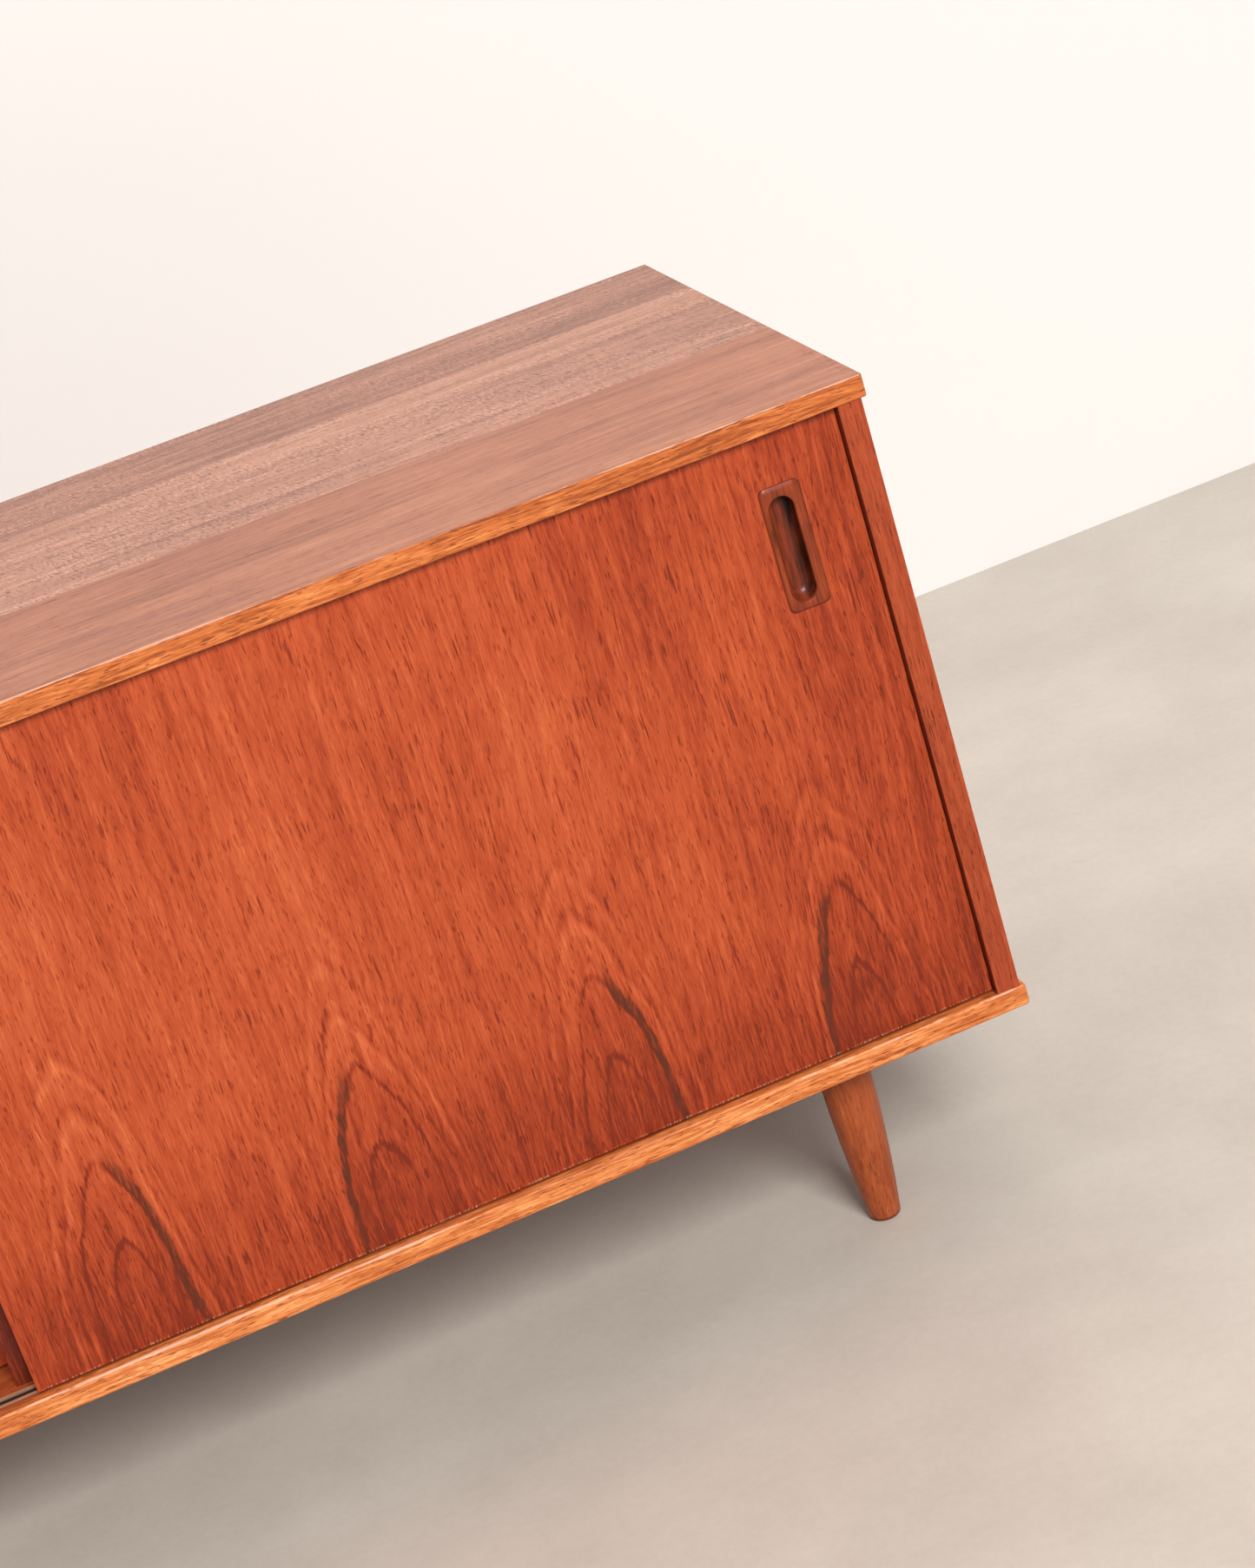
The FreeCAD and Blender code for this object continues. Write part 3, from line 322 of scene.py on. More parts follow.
def arches(shader, place, height, number):
    """Nested arches low in a leaf, where the saw cut the growth rings flat."""
    drift = shader.mul(number, 0.35)
    grain = (place, height, drift)
    bend = shader.layered(0.0, (shader.streaks(grain, 0.060, 0.120, 11.0, detail=1.0), 0.016),
                          (shader.streaks(grain, 0.014, 0.040, 12.0), 0.0026),
                          (shader.streaks(grain, 0.0020, 0.009, 13.0), 0.0024))
    off_heart = shader.sub(shader.add(place, bend), HEART)
    lifted = shader.layered(shader.math("MAXIMUM", height, 0.0), (number, 0.006))
    flank = shader.math("POWER", shader.math("ABSOLUTE", off_heart), ARCH_POINT)
    rise = shader.math("POWER", shader.mul(lifted, ARCH_RISE), ARCH_POINT)
    reach = shader.math("POWER", shader.add(flank, rise), 1 / ARCH_POINT)
    waver = shader.mul(shader.streaks(grain, 0.035, 0.07, 14.0), 0.9)
    ring = shader.math("FRACT", shader.add(shader.mul(reach, 1 / RING_PITCH), waver))
    strength = shader.ramp(shader.streaks(grain, 0.025, 0.060, 15.0), -0.16, 0.10, 0.35, 1.0)
    ringed = shader.mul(shader.ramp(reach, RINGS_END, RINGS_END - 0.014),
                        shader.ramp(reach, HEART_EDGE - 0.001, HEART_EDGE + 0.004, 0.3, 1.0))
    near = shader.mul(ringed, strength)
    light = shader.mul(shader.peak(ring, 0.34, 0.22), near)
    dark = shader.mul(shader.peak(ring, 0.64, 0.20), near)
    flicker = shader.streaks(grain, 0.0024, 0.030, 18.0, detail=3.0, roughness=0.7)
    ragged = shader.add(reach, shader.mul(flicker, 0.0036))
    outlines = shader.math("MAXIMUM", shader.peak(ragged, HEART_EDGE, OUTLINE_WIDTH),
                           shader.peak(ragged, SMALL_ARCH, OUTLINE_WIDTH))
    outlines = shader.mul(outlines, strength)
    swell = shader.layered(0.0022, (shader.streaks(grain, 0.010, 0.035, 16.0), 0.0060))
    width = shader.math("MAXIMUM", swell, 0.0006)
    away = shader.math("ABSOLUTE", shader.sub(reach, HEART_EDGE + 0.0015))
    on_flank = shader.mul(shader.ramp(off_heart, 0.0, 0.012),
                          shader.ramp(lifted, STREAK_TOP, STREAK_FULL))
    patchy = shader.ramp(shader.streaks(grain, 0.0022, 0.014, 17.0), -0.18, 0.14, 0.36, 1.0)
    streak = shader.mul(shader.ramp(shader.sub(away, width), 0.0014, -0.0006), on_flank)
    streak = shader.mul(streak, patchy)
    heart = shader.ramp(reach, HEART_EDGE + 0.001, HEART_EDGE - 0.002)
    return light, dark, outlines, streak, heart


# how far a door's painted shade reaches up from its foot and in from its outer edge, and the
# height over which its foot is frayed pale
FOOT_SHADE = 0.16
EDGE_SHADE = 0.260
FRAYED = 0.0024


def door_teak(name, start, outer_sign):
    """Red-brown veneer with upright grain in book-matched leaves, an arch low in each leaf."""
    shader = Shader(name)
    place, number = book_match(shader, shader.axes["X"], start)
    height = shader.sub(shader.axes["Z"], door_low.z)
    drift = shader.add(shader.mul(number, 0.0011), shader.axes["Y"])
    loose = (place, height, drift)
    bend = shader.layered(0.0, (shader.streaks(loose, 0.110, 0.300, 21.0, detail=1.0), 0.022),
                          (shader.streaks(loose, 0.016, 0.055, 22.0), 0.0034))
    grain = (shader.add(place, bend), height, drift)
    tone, fibres, pores = teak_layers(shader, grain, TEAK)
    light_dashes = shader.dashes(grain, 0.0011, 0.014, 0.20, 31.0)
    light, dark, outlines, streak, heart = arches(shader, place, height, number)
    leaf_tone = shader.sub(shader.noise(shader.vector(number, 2.7, 9.1)), 0.5)
    # painted shade: the veneer darkens towards the door's foot and towards its outer edge
    foot = shader.ramp(height, FOOT_SHADE, 0.0)
    outer_edge = door_high.x if outer_sign > 0 else left_low.x
    from_edge = shader.mul(shader.sub(outer_edge, shader.axes["X"]), outer_sign)
    edge = shader.ramp(from_edge, EDGE_SHADE, 0.0)
    shade = shader.math("MAXIMUM", foot, shader.mul(edge, 0.52))
    tone = shader.layered(tone, (light_dashes, 0.20), (light, 0.17), (dark, -0.17),
                          (outlines, -0.46), (streak, -0.30), (heart, -0.13), (leaf_tone, 0.35),
                          (shade, -0.31))
    colour = shader.colours(tone, DOOR_TONES)
    colour = shader.mix(shader.mul(streak, 0.76), colour, MINERAL_STREAK)
    splinters = shader.ramp(shader.streaks(loose, 0.0010, 0.010, 61.0), 0.0, 0.15)
    frayed = shader.mul(shader.ramp(height, FRAYED, FRAYED - 0.0020), splinters)
    nicks = shader.specks(loose, 0.085, 0.0008, 0.35)
    colour = shader.mix(shader.math("MAXIMUM", shader.mul(frayed, 0.42), nicks), colour, PALE_WOOD)
    shader.set(Base_Color=colour)
    finish(shader, fibres, pores, 0.40)
    return shader.material


def plain_teak(name, along, across, depth, tones, roughness=0.42, darker_by=None, **changes):
    """Straight-grained teak along one axis; darker_by(shader) says how much darker each place is.
    """
    look = dict(TEAK, **changes)
    shader = Shader(name)
    grain, side, thick = (shader.axes[axis] for axis in (along, across, depth))
    loose = (side, grain, thick)
    bend = shader.mul(shader.streaks(loose, 0.080, 0.400, 41.0, detail=1.0), 0.020)
    leaning = shader.layered(side, (bend, 1.0), (thick, 0.3))
    tone, fibres, pores = teak_layers(shader, (leaning, grain, thick), look)
    if darker_by:
        tone = shader.sub(tone, darker_by(shader))
    nicks = shader.specks(loose, 0.060, 0.0006, 0.35)
    colour = shader.colours(tone, tones)
    shader.set(Base_Color=shader.mix(shader.mul(nicks, 0.8), colour, PALE_WOOD))
    finish(shader, fibres, pores, roughness)
    return shader.material


TOP_TEAK = dict(TEAK, bands=0.95, streaks=0.95, lines=0.95, fibres=0.95, pores=0.24)
# how far two leaves blend at their seam, and what tints the front leaf and the faded ones
SEAM = 0.001
WARM_TINT = (0.96, 0.88, 0.77)
FADED_TINT = (1.08, 1.24, 1.33)


def top_colour(shader):
    """Sun-faded veneer along the length, in three leaves; the two at the back are rippled."""
    offset = shader.sub(shader.axes["Y"], low.y)
    number = shader.math("FLOOR", shader.math("DIVIDE", offset, LEAF))
    along = shader.axes["X"]
    drift = shader.mul(number, 0.77)
    loose = (offset, along, drift)
    bend = shader.layered(0.0, (shader.streaks(loose, 0.120, 0.700, 51.0, detail=1.0), 0.050),
                          (shader.streaks(loose, 0.030, 0.160, 52.0), 0.006))
    grain = (shader.add(offset, bend), along, drift)
    tone, fibres, pores = teak_layers(shader, grain, TOP_TEAK, 60.0)
    behind = shader.ramp(offset, LEAF - SEAM, LEAF + SEAM)
    rear = shader.ramp(offset, 2 * LEAF - SEAM, 2 * LEAF + SEAM)
    patches = shader.ramp(shader.streaks(loose, 0.040, 0.200, 53.0), -0.12, 0.12, 0.35, 1.0)
    slanted = shader.add(along, shader.mul(offset, 0.35))
    speckle = shader.mul(shader.streaks((slanted, offset, 0.0), 0.0016, 0.0040, 54.0), patches)
    ticks = shader.dashes((slanted, offset, 0.0), 0.0021, 0.0120, 0.085, 55.0)
    glints = shader.dashes((slanted, offset, 0.0), 0.0019, 0.0075, 0.120, 57.0)
    ripple = shader.mul(shader.sub(ticks, shader.mul(glints, 0.7)), patches)
    seam_lines = shader.ramp(shader.streaks(grain, 0.0045, 0.900, 56.0, detail=1.0), 0.13, 0.22)
    tone = shader.layered(tone, (shader.mul(speckle, behind), 2.30),
                          (shader.mul(ripple, behind), -0.62), (seam_lines, -0.20),
                          (rear, -0.22))
    colour = shader.colours(tone, TOP_TONES)
    warm = shader.mix(1.0, colour, WARM_TINT, "MULTIPLY")
    faded = shader.mix(1.0, colour, FADED_TINT, "MULTIPLY")
    return shader.mix(behind, warm, faded), fibres, pores


def top_teak(name):
    """The faded veneer with its satin finish."""
    shader = Shader(name)
    colour, fibres, pores = top_colour(shader)
    shader.set(Base_Color=colour)
    finish(shader, fibres, pores, 0.36)
    return shader.material


def rubbed_arris_highlight(shader, along, place, reach):
    """1 along a rubbed edge, pale partly from wear and partly as a painted highlight; place holds
    two distances from its line, reach how far it is rubbed.
    """
    first, second = place
    squared = shader.add(shader.mul(first, first), shader.mul(second, second))
    away = shader.math("SQRT", squared)
    line = (0.0, along, 0.0)
    chips = shader.streaks(line, 1.0, 0.030, 71.0, detail=3.0, roughness=0.75)
    stretches = shader.streaks(line, 1.0, 0.350, 72.0)
    ragged = shader.layered(reach, (chips, reach * 3.4), (stretches, reach * 5.0))
    return shader.ramp(shader.sub(ragged, away), 0.0, 0.0006)


def lipping_teak(name, along, across, depth, veneered, rub_and_highlight, base_tone):
    """Lighter solid teak, pale along its front arris from rubbing and from a painted highlight;
    the top's are veneered over.
    """
    look = dict(TEAK, tone=base_tone, bands=0.45, streaks=0.95, lines=1.30, fibres=0.95,
                pores=0.42, pore_level=0.14, blotches=0.50)
    shader = Shader(name)
    grain, side, thick = (shader.axes[axis] for axis in (along, across, depth))
    bend = shader.mul(shader.streaks((side, grain, thick), 0.030, 0.200, 42.0, detail=1.0), 0.012)
    tone, fibres, pores = teak_layers(shader, (shader.add(side, bend), grain, thick), look, 80.0)
    colour = shader.colours(tone, SOLID_TONES)
    top_level = high.z if veneered else board_top
    if veneered:
        veneer, _, _ = top_colour(shader)
        on_top = shader.ramp(shader.axes["Z"], high.z - 0.0008, high.z - 0.0005)
        colour = shader.mix(on_top, colour, veneer)
    # pale along the front arris: partly wear, partly a painted highlight
    if rub_and_highlight:
        place = (shader.sub(shader.axes["Y"], low.y), shader.sub(shader.axes["Z"], top_level))
        rubbed_and_lit = rubbed_arris_highlight(shader, shader.axes["X"], place, rub_and_highlight)
        colour = shader.mix(shader.mul(rubbed_and_lit, 0.62), colour, RUBBED_AND_LIT_WOOD)
    shader.set(Base_Color=colour)
    finish(shader, fibres, pores, 0.38)
    return shader.material


# ---------------------------------------------------------------- other materials

def grip_wood(name, middle, outer_sign, face):
    """Dark red lacquered hardwood with painted shade in the hollow, deepest on its outer side,
    whose middle and outer side are given in x and mouth is at y = face, and where the plate meets
    the door."""
    shader = Shader(name)
    fibres = shader.noise(shader.vector(shader.mul(shader.axes["X"], 900.0),
                                        shader.mul(shader.axes["Y"], 900.0),
                                        shader.mul(shader.axes["Z"], 40.0)), detail=3.0)
    clouds = shader.noise(shader.vector(shader.mul(shader.axes["X"], 120.0), 0.0,
                                        shader.mul(shader.axes["Z"], 35.0)), detail=2.0)
    tone = shader.add(shader.mul(fibres, 0.5), shader.mul(clouds, 0.5))
    # painted shade: darker hollow walls, most on the outer side, and a dark crease line where the
    # plate meets the door
    inside = shader.ramp(shader.axes["Y"], face + 0.0006, face + 0.0034)
    across = shader.mul(shader.sub(shader.axes["X"], middle), outer_sign)
    outer_wall_shade = shader.add(shader.ramp(across, -0.001, 0.006), 0.15)
    plate_edge_shade = shader.ramp(shader.axes["Y"], door_low.y - 0.0009, door_low.y - 0.0005)
    off_middle = shader.ramp(shader.math("ABSOLUTE", across), 0.0110, 0.0125)
    tone = shader.layered(tone, (shader.mul(inside, outer_wall_shade), -0.24),
                          (shader.mul(plate_edge_shade, off_middle), -0.40))
    shader.set(Base_Color=shader.colours(tone, LACQUER_TONES))
    shader.set(Roughness=0.38, IOR=1.5, Specular_IOR_Level=0.14, Coat_Weight=0.11,
               Coat_Roughness=0.03)
    shader.bump(fibres, 0.00008)
    return shader.material


def foot_darker_ring(shader):
    """Darker ring round the bottom few millimetres of a leg."""
    return shader.ramp(shader.axes["Z"], 0.0042, 0.0018, 0.0, 0.42)


def beech(name, along, across, depth):
    """Pale wood of the drawer boxes: the teak's grain in beech colours."""
    return plain_teak(name, along, across, depth, BEECH_TONES, 0.5, tone=0.60, pores=0.15)


def plywood(name, along, across, depth):
    """Brown plywood, banded along its outer layer."""
    return plain_teak(name, along, across, depth, PLYWOOD_TONES, 0.6, tone=0.55, bands=0.80,
                      pores=0.16)


def moulded(name, colour, roughness, darker_below=None):
    """Moulded plastic with a faint mottle, darker below a height where one is given."""
    shader = Shader(name)
    place = shader.vector(shader.mul(shader.axes["X"], 25.0), shader.mul(shader.axes["Y"], 600.0),
                          shader.mul(shader.axes["Z"], 600.0))
    scuffs = shader.noise(place, detail=3.0, roughness=0.6)
    darker = tuple(channel * 0.62 for channel in colour)
    tint = shader.mix(shader.ramp(scuffs, 0.35, 0.7), darker, colour)
    if darker_below:
        low_tone_mask = shader.ramp(shader.axes["Z"], darker_below, darker_below - 0.0015)
        tint = shader.mix(low_tone_mask, tint, TRACK_LOW_TONE)
    shader.set(Base_Color=tint)
    shader.set(Roughness=shader.add(roughness, shader.mul(scuffs, 0.2)))
    shader.bump(scuffs, 0.00005)
    return shader.material


def metal(name, colour, roughness):
    """Bare metal with fine turning marks and dull patches."""
    shader = Shader(name)
    marks = shader.noise(shader.vector(shader.mul(shader.axes["X"], 1500.0),
                                       shader.mul(shader.axes["Y"], 1500.0),
                                       shader.mul(shader.axes["Z"], 1500.0)), detail=2.0)
    darker = tuple(channel * 0.6 for channel in colour)
    shader.set(Base_Color=shader.mix(marks, darker, colour))
    shader.set(Roughness=shader.add(roughness, shader.mul(marks, 0.2)), Metallic=1.0)
    shader.bump(marks, 0.00003)
    return shader.material


# ---------------------------------------------------------------- assigning materials

def wear(name, material, bevel=0.0):
    """Gives a CAD node its material and, where asked, a small rounding of its sharp arrises."""
    piece = nodes[name]
    piece.data.materials.clear()
    piece.data.materials.append(material)
    if bevel:
        rounding = piece.modifiers.new("arris", "BEVEL")
        rounding.width = bevel
        rounding.segments = 2
        rounding.limit_method = "ANGLE"
        rounding.angle_limit = math.radians(60)


# the rounding of a board's sharp edges, and how deep a face's darkening, mostly painted shade, is
# painted into its board
ARRIS = 0.0006
SKIN = 0.0006


def inner_face_painted_shade(shader):
    """Painted shade on a side panel's inner face, in the narrow gap beside the door."""
    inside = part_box("right_side_panel")[0][0]
    away = shader.math("ABSOLUTE", shader.axes["X"])
    return shader.ramp(away, inside + SKIN, inside, 0.0, 0.45)


def divider_painted_shade(shader):
    """Painted shade on a divider's front edge, in the doors' shadow where the doors' backs pass."""
    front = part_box("right_divider")[0][1]
    return shader.ramp(shader.axes["Y"], front + SKIN, front, 0.0, 0.34)


def underside_darker(shader):
    """Darker wood on the underside of the bottom board."""
    return shader.ramp(shader.axes["Z"], board_under + SKIN, board_under, 0.0, 0.50)


wear("right_door_panel", door_teak("right_door_teak", door_low.x, 1), ARRIS)
wear("left_door_panel", door_teak("left_door_teak", left_low.x, -1), ARRIS)
wear("top_panel", top_teak("top_teak"))
inside_teak = plain_teak("inside_teak", "X", "Y", "Z", SIDE_TONES)
upright_teak = plain_teak("upright_teak", "Z", "Y", "X", SIDE_TONES, tone=0.46,
                          darker_by=inner_face_painted_shade)
divider_teak = plain_teak("divider_teak", "Z", "Y", "X", SIDE_TONES, tone=0.40,
                          darker_by=divider_painted_shade)
edge_teak = plain_teak("edge_teak", "Z", "X", "Y", DOOR_TONES, tone=0.46)
drawer_teak = plain_teak("drawer_teak", "X", "Z", "Y", DOOR_TONES)
leg_teak = plain_teak("leg_teak", "Z", "X", "Y", LEG_TONES, 0.38, darker_by=foot_darker_ring, tone=0.47,
                      pores=0.25, bands=0.35)
beech_long = beech("beech_along_y", "Y", "Z", "X")
beech_wide = beech("beech_along_x", "X", "Z", "Y")
ply_back = plywood("ply_back", "X", "Z", "Y")
ply_flat = plywood("ply_flat", "X", "Y", "Z")
track_plastic = moulded("track_plastic", (0.46, 0.26, 0.17), 0.25, darker_below=board_top)
nylon = moulded("nylon", (0.75, 0.72, 0.66), 0.4)
steel = metal("steel", (0.55, 0.55, 0.56), 0.3)
brass = metal("brass", (0.72, 0.50, 0.20), 0.25)

wear("bottom_panel", plain_teak("bottom_teak", "X", "Y", "Z", LEG_TONES, tone=0.40,
                                darker_by=underside_darker))
wear("door_track", track_plastic)
wear("back_panel", ply_back)
wear("back_screws", steel)
wear("leg_studs", steel)
wear("leg_inserts", brass)
wear("shelf_pins", brass)
wear("carcass_dowels", beech_long)
wear("drawer_runners", beech_long)
for board, veneered, rub_and_highlight, tone in (("top", True, 0.0009, 0.36), ("bottom", False, 0.0012, 0.54)):
    long_lipping = lipping_teak(board + "_long_lipping", "X", "Z", "Y", veneered, rub_and_highlight, tone)
    end_lipping = lipping_teak(board + "_end_lipping", "Y", "Z", "X", veneered, 0.0, tone)
    wear(board + "_front_lipping", long_lipping)
    for side in ("left", "right"):
        wear("%s_%s_end_lipping" % (board, side), end_lipping)
for side in ("left", "right"):
    wear(side + "_side_panel", upright_teak, ARRIS)
    wear(side + "_divider", divider_teak, ARRIS)
    wear(side + "_door_inner_lipping", edge_teak)
    wear(side + "_door_outer_lipping", edge_teak)
    wear(side + "_door_glides", nylon)
    wear(side + "_shelf", inside_teak)
    for end in ("front", "rear"):
        wear("%s_%s_leg" % (end, side), leg_teak)
for number in range(1, 5):
    drawer = "drawer_%d_" % number
    wear(drawer + "front", drawer_teak, ARRIS)
    wear(drawer + "left_side", beech_long, ARRIS)
    wear(drawer + "right_side", beech_long, ARRIS)
    wear(drawer + "back", beech_wide, ARRIS)
    wear(drawer + "bottom", ply_flat)


# ---------------------------------------------------------------- finger grips

CORNER_STEPS = 10
PLATE_CORNER = 0.0050
# the hollow's half width and half height, and how far it sits inward and down of the plate's middle
HOLLOW_SIDE = 0.0094
HOLLOW_REACH = 0.0393
HOLLOW_INWARD = 0.0020
HOLLOW_DOWN = 0.0012


def rounded_loop(centre, half, radius, depth):
    """Points round a rectangle with round corners, upright in the door's plane."""
    points = []
    for corner, (x_sign, z_sign) in enumerate(((1, 1), (-1, 1), (-1, -1), (1, -1))):
        for step in range(CORNER_STEPS + 1):
            angle = math.pi / 2 * (corner + step / CORNER_STEPS)
            x = centre[0] + x_sign * (half[0] - radius) + radius * math.cos(angle)
            z = centre[1] + z_sign * (half[1] - radius) + radius * math.sin(angle)
            points.append((x, depth, z))
    return points


def lofted(name, loops):
    """A closed skin through loops of equal length, with both ends filled."""
    shape = bmesh.new()
    rings = [[shape.verts.new(point) for point in loop] for loop in loops]
    count = len(rings[0])
    for ring, following in zip(rings, rings[1:]):
        for index in range(count):
            beside = (index + 1) % count
            shape.faces.new((ring[index], ring[beside], following[beside], following[index]))
    shape.faces.new(list(reversed(rings[0])))
    shape.faces.new(rings[-1])
    bmesh.ops.recalc_face_normals(shape, faces=shape.faces)
    mesh = bpy.data.meshes.new(name)
    shape.to_mesh(mesh)
    shape.free()
    mesh.shade_smooth()
    mesh.set_sharp_from_angle(angle=math.radians(50))
    piece = bpy.data.objects.new(name, mesh)
    bpy.context.scene.collection.objects.link(piece)
    return piece


def carved_grip(side, outer_sign):
    """Plate with a wide bevel above and on the outer side, round a long hollow for the fingers."""
    node = side + "_door_grip"
    plate_low, plate_high = (Vector(c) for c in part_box(node))
    middle = (plate_low + plate_high) / 2
    width = plate_high.x - plate_low.x
    height = plate_high.z - plate_low.z
    face = plate_low.y
    door_face = door_low.y
    hollow_middle = middle.x - outer_sign * HOLLOW_INWARD

    def plate(inner, outer, top, foot, radius, depth):
        """The plate's outline at one depth, drawn in by the four given amounts."""
        centre = (middle.x + outer_sign * (inner - outer) / 2, middle.z + (foot - top) / 2)
        half = ((width - inner - outer) / 2, (height - top - foot) / 2)
        return rounded_loop(centre, half, radius, depth)

    def hollow(sides, top, foot, depth):
        """The hollow's outline at one depth, drawn in by the three given amounts."""
        half = (HOLLOW_SIDE - sides, HOLLOW_REACH - (top + foot) / 2)
        centre = (hollow_middle, middle.z - HOLLOW_DOWN + (foot - top) / 2)
        return rounded_loop(centre, half, half[0] - 1e-5, depth)

    piece = lofted(side + "_carved_grip", [
        plate(0.0, 0.0, 0.0, 0.0, PLATE_CORNER, plate_high.y),
        plate(0.0, 0.0, 0.0, 0.0, PLATE_CORNER, door_face),
        plate(0.0, 0.0, 0.0, 0.0, PLATE_CORNER, door_face - 0.0007),
        plate(0.0002, 0.0003, 0.0003, 0.0002, PLATE_CORNER, door_face - 0.0010),
        plate(0.0011, 0.0032, 0.0030, 0.0012, 0.0046, face + 0.0002),
        plate(0.0014, 0.0037, 0.0035, 0.0015, 0.0045, face + 0.00003),
        plate(0.0018, 0.0042, 0.0040, 0.0019, 0.0044, face),
        hollow(-0.0009, -0.0009, -0.0009, face),
        hollow(-0.0004, -0.0004, -0.0004, face + 0.00012),
        hollow(-0.0001, -0.0001, -0.0001, face + 0.0005),
        hollow(0.0, 0.0, 0.0, face + 0.0012),
        hollow(0.0005, 0.0003, 0.0014, face + 0.0042),
        hollow(0.0014, 0.0008, 0.0036, face + 0.0068),
        hollow(0.0028, 0.0018, 0.0062, face + 0.0086),
        hollow(0.0046, 0.0034, 0.0092, face + 0.0096),
        hollow(0.0066, 0.0056, 0.0130, face + 0.0100),
    ])
    piece.data.materials.append(grip_wood(side + "_grip_wood", hollow_middle, outer_sign, face))
    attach(piece, side + "_door")
    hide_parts(node)


carved_grip("left", -1)
carved_grip("right", 1)


# ---------------------------------------------------------------- drawer pulls

PULL_STATIONS = 16
# the neck's height and the lip's thickness in the middle
PULL_NECK = 0.0080
PULL_LIP = 0.0068
# shares by which the lip comes in, gets lower and gets thinner at the ends, how late that sets
# in along the pull, and how far the ends' underside lifts
END_REACH = 0.30
END_CREST = 0.42
END_LIP = 0.15
END_POWER = 3.5
END_LIFT = 0.0012
END_LIFT_POWER = 8


def rounded_outline(corners, steps=5):
    """Points round an outline of square corners, each given as (across, up, radius)."""
    points = []
    for index, (across, height, radius) in enumerate(corners):
        corner = Vector((across, height))
        arriving = (corner - Vector(corners[index - 1][:2])).normalized()
        following = corners[(index + 1) % len(corners)]
        leaving = (Vector(following[:2]) - corner).normalized()
        centre = corner + (leaving - arriving) * radius
        for step in range(steps + 1):
            angle = math.pi / 2 * step / steps
            outward = arriving * math.sin(angle) - leaving * math.cos(angle)
            points.append(centre + outward * radius)
    return points


def carved_pull(number):
    """A hooked lip on a neck, drawn in and lowered towards both ends like a boat."""
    node = "drawer_%d_pull" % number
    pull_low, pull_high = (Vector(c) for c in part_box(node))
    reach = pull_high.y - pull_low.y
    height = pull_high.z - pull_low.z
    middle = (pull_low.x + pull_high.x) / 2
    half = (pull_high.x - pull_low.x) / 2
    loops = []
    for station in range(-PULL_STATIONS, PULL_STATIONS + 1):
        share = station / PULL_STATIONS
        place = math.sin(math.pi / 2 * share)
        endward = abs(place) ** END_POWER
        lip = reach * (1 - END_REACH * endward)
        crest = PULL_NECK + (height - PULL_NECK) * (1 - END_CREST * endward)
        inner = lip - PULL_LIP * (1 - END_LIP * endward)
        lift = END_LIFT * abs(place) ** END_LIFT_POWER
        outline = rounded_outline([
            (0.0, lift, 0.0002), (lip - lift, lift, 0.0055), (lip - lift, crest - lift, 0.0026),
            (inner, crest - lift, 0.0026), (inner, PULL_NECK - lift, 0.0018),
            (0.0, PULL_NECK - lift, 0.0002)])
        x = middle + half * place
        loops.append([(x, pull_high.y - point.x, pull_low.z + point.y) for point in outline])
    piece = lofted("drawer_%d_carved_pull" % number, loops)
    piece.data.materials.append(dark_pull)
    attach(piece, "drawer_%d" % number)
    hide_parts(node)


dark_pull = plain_teak("pull_wood", "X", "Z", "Y", GRIP_TONES, 0.34, tone=0.55, pores=0.20)
for number in range(1, 5):
    carved_pull(number)


# ---------------------------------------------------------------- room

FLOOR_REACH = 14.0
WALL_BEHIND = 1.22
ROOM_LIGHT = 0.37


def flat_sheet(name, corners):
    """One flat face that belongs to the room, not to the sideboard."""
    mesh = bpy.data.meshes.new(name)
    mesh.from_pydata(corners, [], [tuple(range(len(corners)))])
    sheet = bpy.data.objects.new(name, mesh)
    bpy.context.scene.collection.objects.link(sheet)
    return sheet


def floor_concrete():
    """Pale trowelled floor with soft clouds."""
    shader = Shader("floor_concrete")
    place = shader.vector(shader.axes["X"], shader.axes["Y"], 0.0)
    clouds = shader.noise(place, scale=4.6, detail=8.0, roughness=0.66)
    specks = shader.noise(place, scale=120.0, detail=4.0, roughness=0.75)
    tone = shader.add(shader.mul(clouds, 0.70), shader.mul(specks, 0.30))
    shader.set(Base_Color=shader.colours(tone, [
        (0.34, (0.500, 0.448, 0.393)), (0.66, (0.600, 0.545, 0.481))]))
    shader.set(Roughness=0.55)
    return shader.material


def wall_paint():
    """White wall, clear from behind so that it hides nothing in views of the back."""
    shader = Shader("wall_paint")
    shader.set(Base_Color=(0.785, 0.765, 0.75), Roughness=0.9)
    tree = shader.tree
    clear = tree.nodes.new("ShaderNodeBsdfTransparent")
    facing = tree.nodes.new("ShaderNodeNewGeometry")
    chooser = tree.nodes.new("ShaderNodeMixShader")
    output = next(node for node in tree.nodes if node.type == "OUTPUT_MATERIAL")
    tree.links.new(facing.outputs["Backfacing"], chooser.inputs[0])
    tree.links.new(shader.surface.outputs[0], chooser.inputs[1])
    tree.links.new(clear.outputs[0], chooser.inputs[2])
    tree.links.new(chooser.outputs[0], output.inputs["Surface"])
    return shader.material


floor = flat_sheet("floor", [
    (-FLOOR_REACH, -FLOOR_REACH, 0), (FLOOR_REACH, -FLOOR_REACH, 0),
    (FLOOR_REACH, FLOOR_REACH, 0), (-FLOOR_REACH, FLOOR_REACH, 0)])
floor.data.materials.append(floor_concrete())
wall_y = low.y + WALL_BEHIND
wall = flat_sheet("wall", [
    (-FLOOR_REACH, wall_y, 0), (FLOOR_REACH, wall_y, 0),
    (FLOOR_REACH, wall_y, FLOOR_REACH), (-FLOOR_REACH, wall_y, FLOOR_REACH)])
wall.data.materials.append(wall_paint())
wall.visible_shadow = False

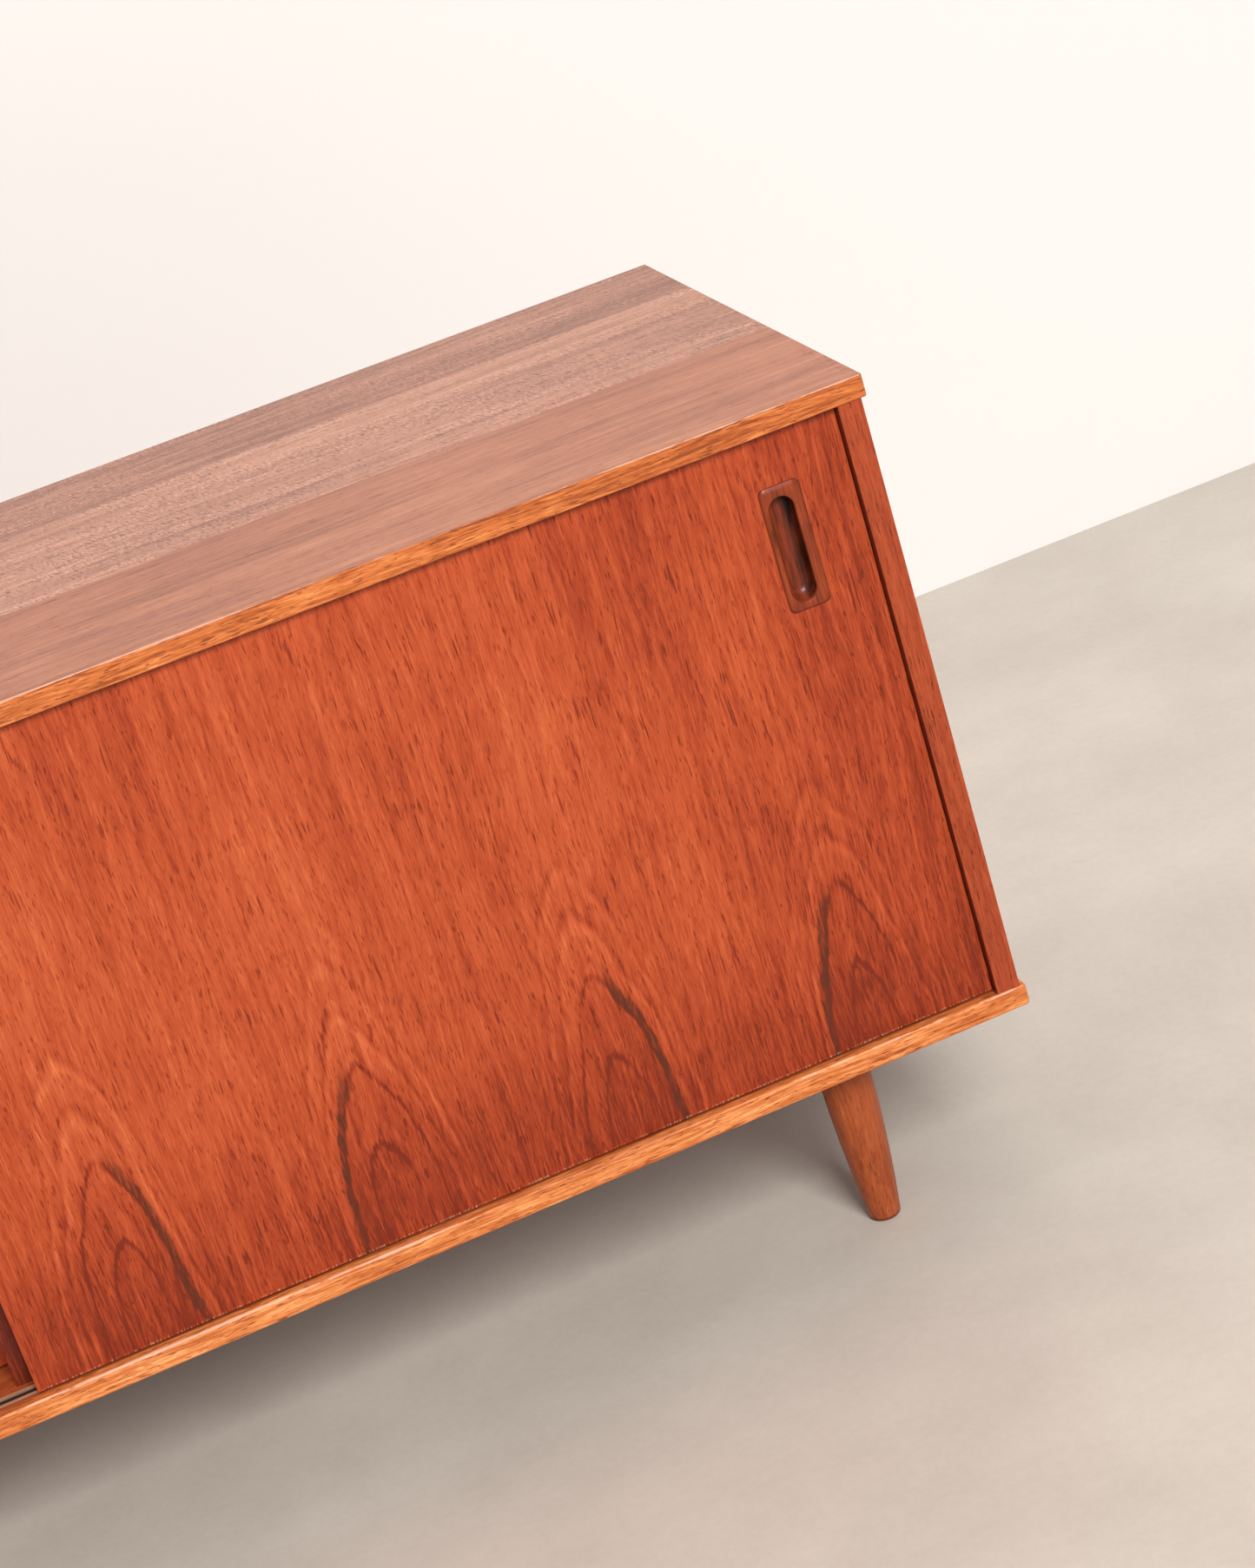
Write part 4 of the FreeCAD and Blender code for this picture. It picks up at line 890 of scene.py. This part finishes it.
scene = bpy.context.scene
scene.view_settings.view_transform = "Standard"
world = bpy.data.worlds.new("studio")
scene.world = world
world.use_nodes = True
background = world.node_tree.nodes["Background"]
background.inputs["Color"].default_value = (1.0, 0.99, 0.98, 1)
background.inputs["Strength"].default_value = ROOM_LIGHT


def soft_light(name, place, target, size, power, colour=(1, 1, 1)):
    """A rectangular lamp of the given width and height, turned towards its target."""
    lamp = bpy.data.lights.new(name, "AREA")
    lamp.shape = "RECTANGLE"
    lamp.size = size[0]
    lamp.size_y = size[1]
    lamp.energy = power
    lamp.color = colour
    rig = bpy.data.objects.new(name, lamp)
    rig.location = place
    rig.rotation_mode = "QUATERNION"
    rig.rotation_quaternion = (Vector(target) - Vector(place)).to_track_quat("-Z", "Y")
    scene.collection.objects.link(rig)


soft_light("key_light", place=(1.5, -8.8, 6.6), target=(0.4, 0, 0.3), size=(3.6, 3.6),
           power=1240, colour=(1.0, 0.988, 0.972))
soft_light("overhead_light", place=(0.4, 0.1, 4.2), target=(0.4, 0.0, 0.0), size=(4.0, 2.4),
           power=20)


# ---------------------------------------------------------------- camera

# the camera's place from the top's front right corner, its aim and its lens
CAMERA_FROM_CORNER = Vector((-0.6619, -2.0734, 0.6558))
AZIMUTH = math.radians(11.51)
ELEVATION = math.radians(22.40)
ROLL = math.radians(-17.42)
FOCAL_LENGTH = 76.19
SENSOR_WIDTH = 36.0

corner = Vector((high.x, low.y, high.z))
forward = Vector((math.sin(AZIMUTH) * math.cos(ELEVATION),
                  math.cos(AZIMUTH) * math.cos(ELEVATION), -math.sin(ELEVATION)))
level_right = Vector((math.cos(AZIMUTH), -math.sin(AZIMUTH), 0))
level_up = level_right.cross(forward)
right = math.cos(ROLL) * level_right + math.sin(ROLL) * level_up
up = -math.sin(ROLL) * level_right + math.cos(ROLL) * level_up
camera_data = bpy.data.cameras.new("camera")
camera_data.lens = FOCAL_LENGTH
camera_data.sensor_width = SENSOR_WIDTH
camera = bpy.data.objects.new("camera", camera_data)
axes = Matrix((right, up, -forward)).transposed().to_4x4()
camera.matrix_world = Matrix.Translation(corner + CAMERA_FROM_CORNER) @ axes
scene.collection.objects.link(camera)
scene.camera = camera
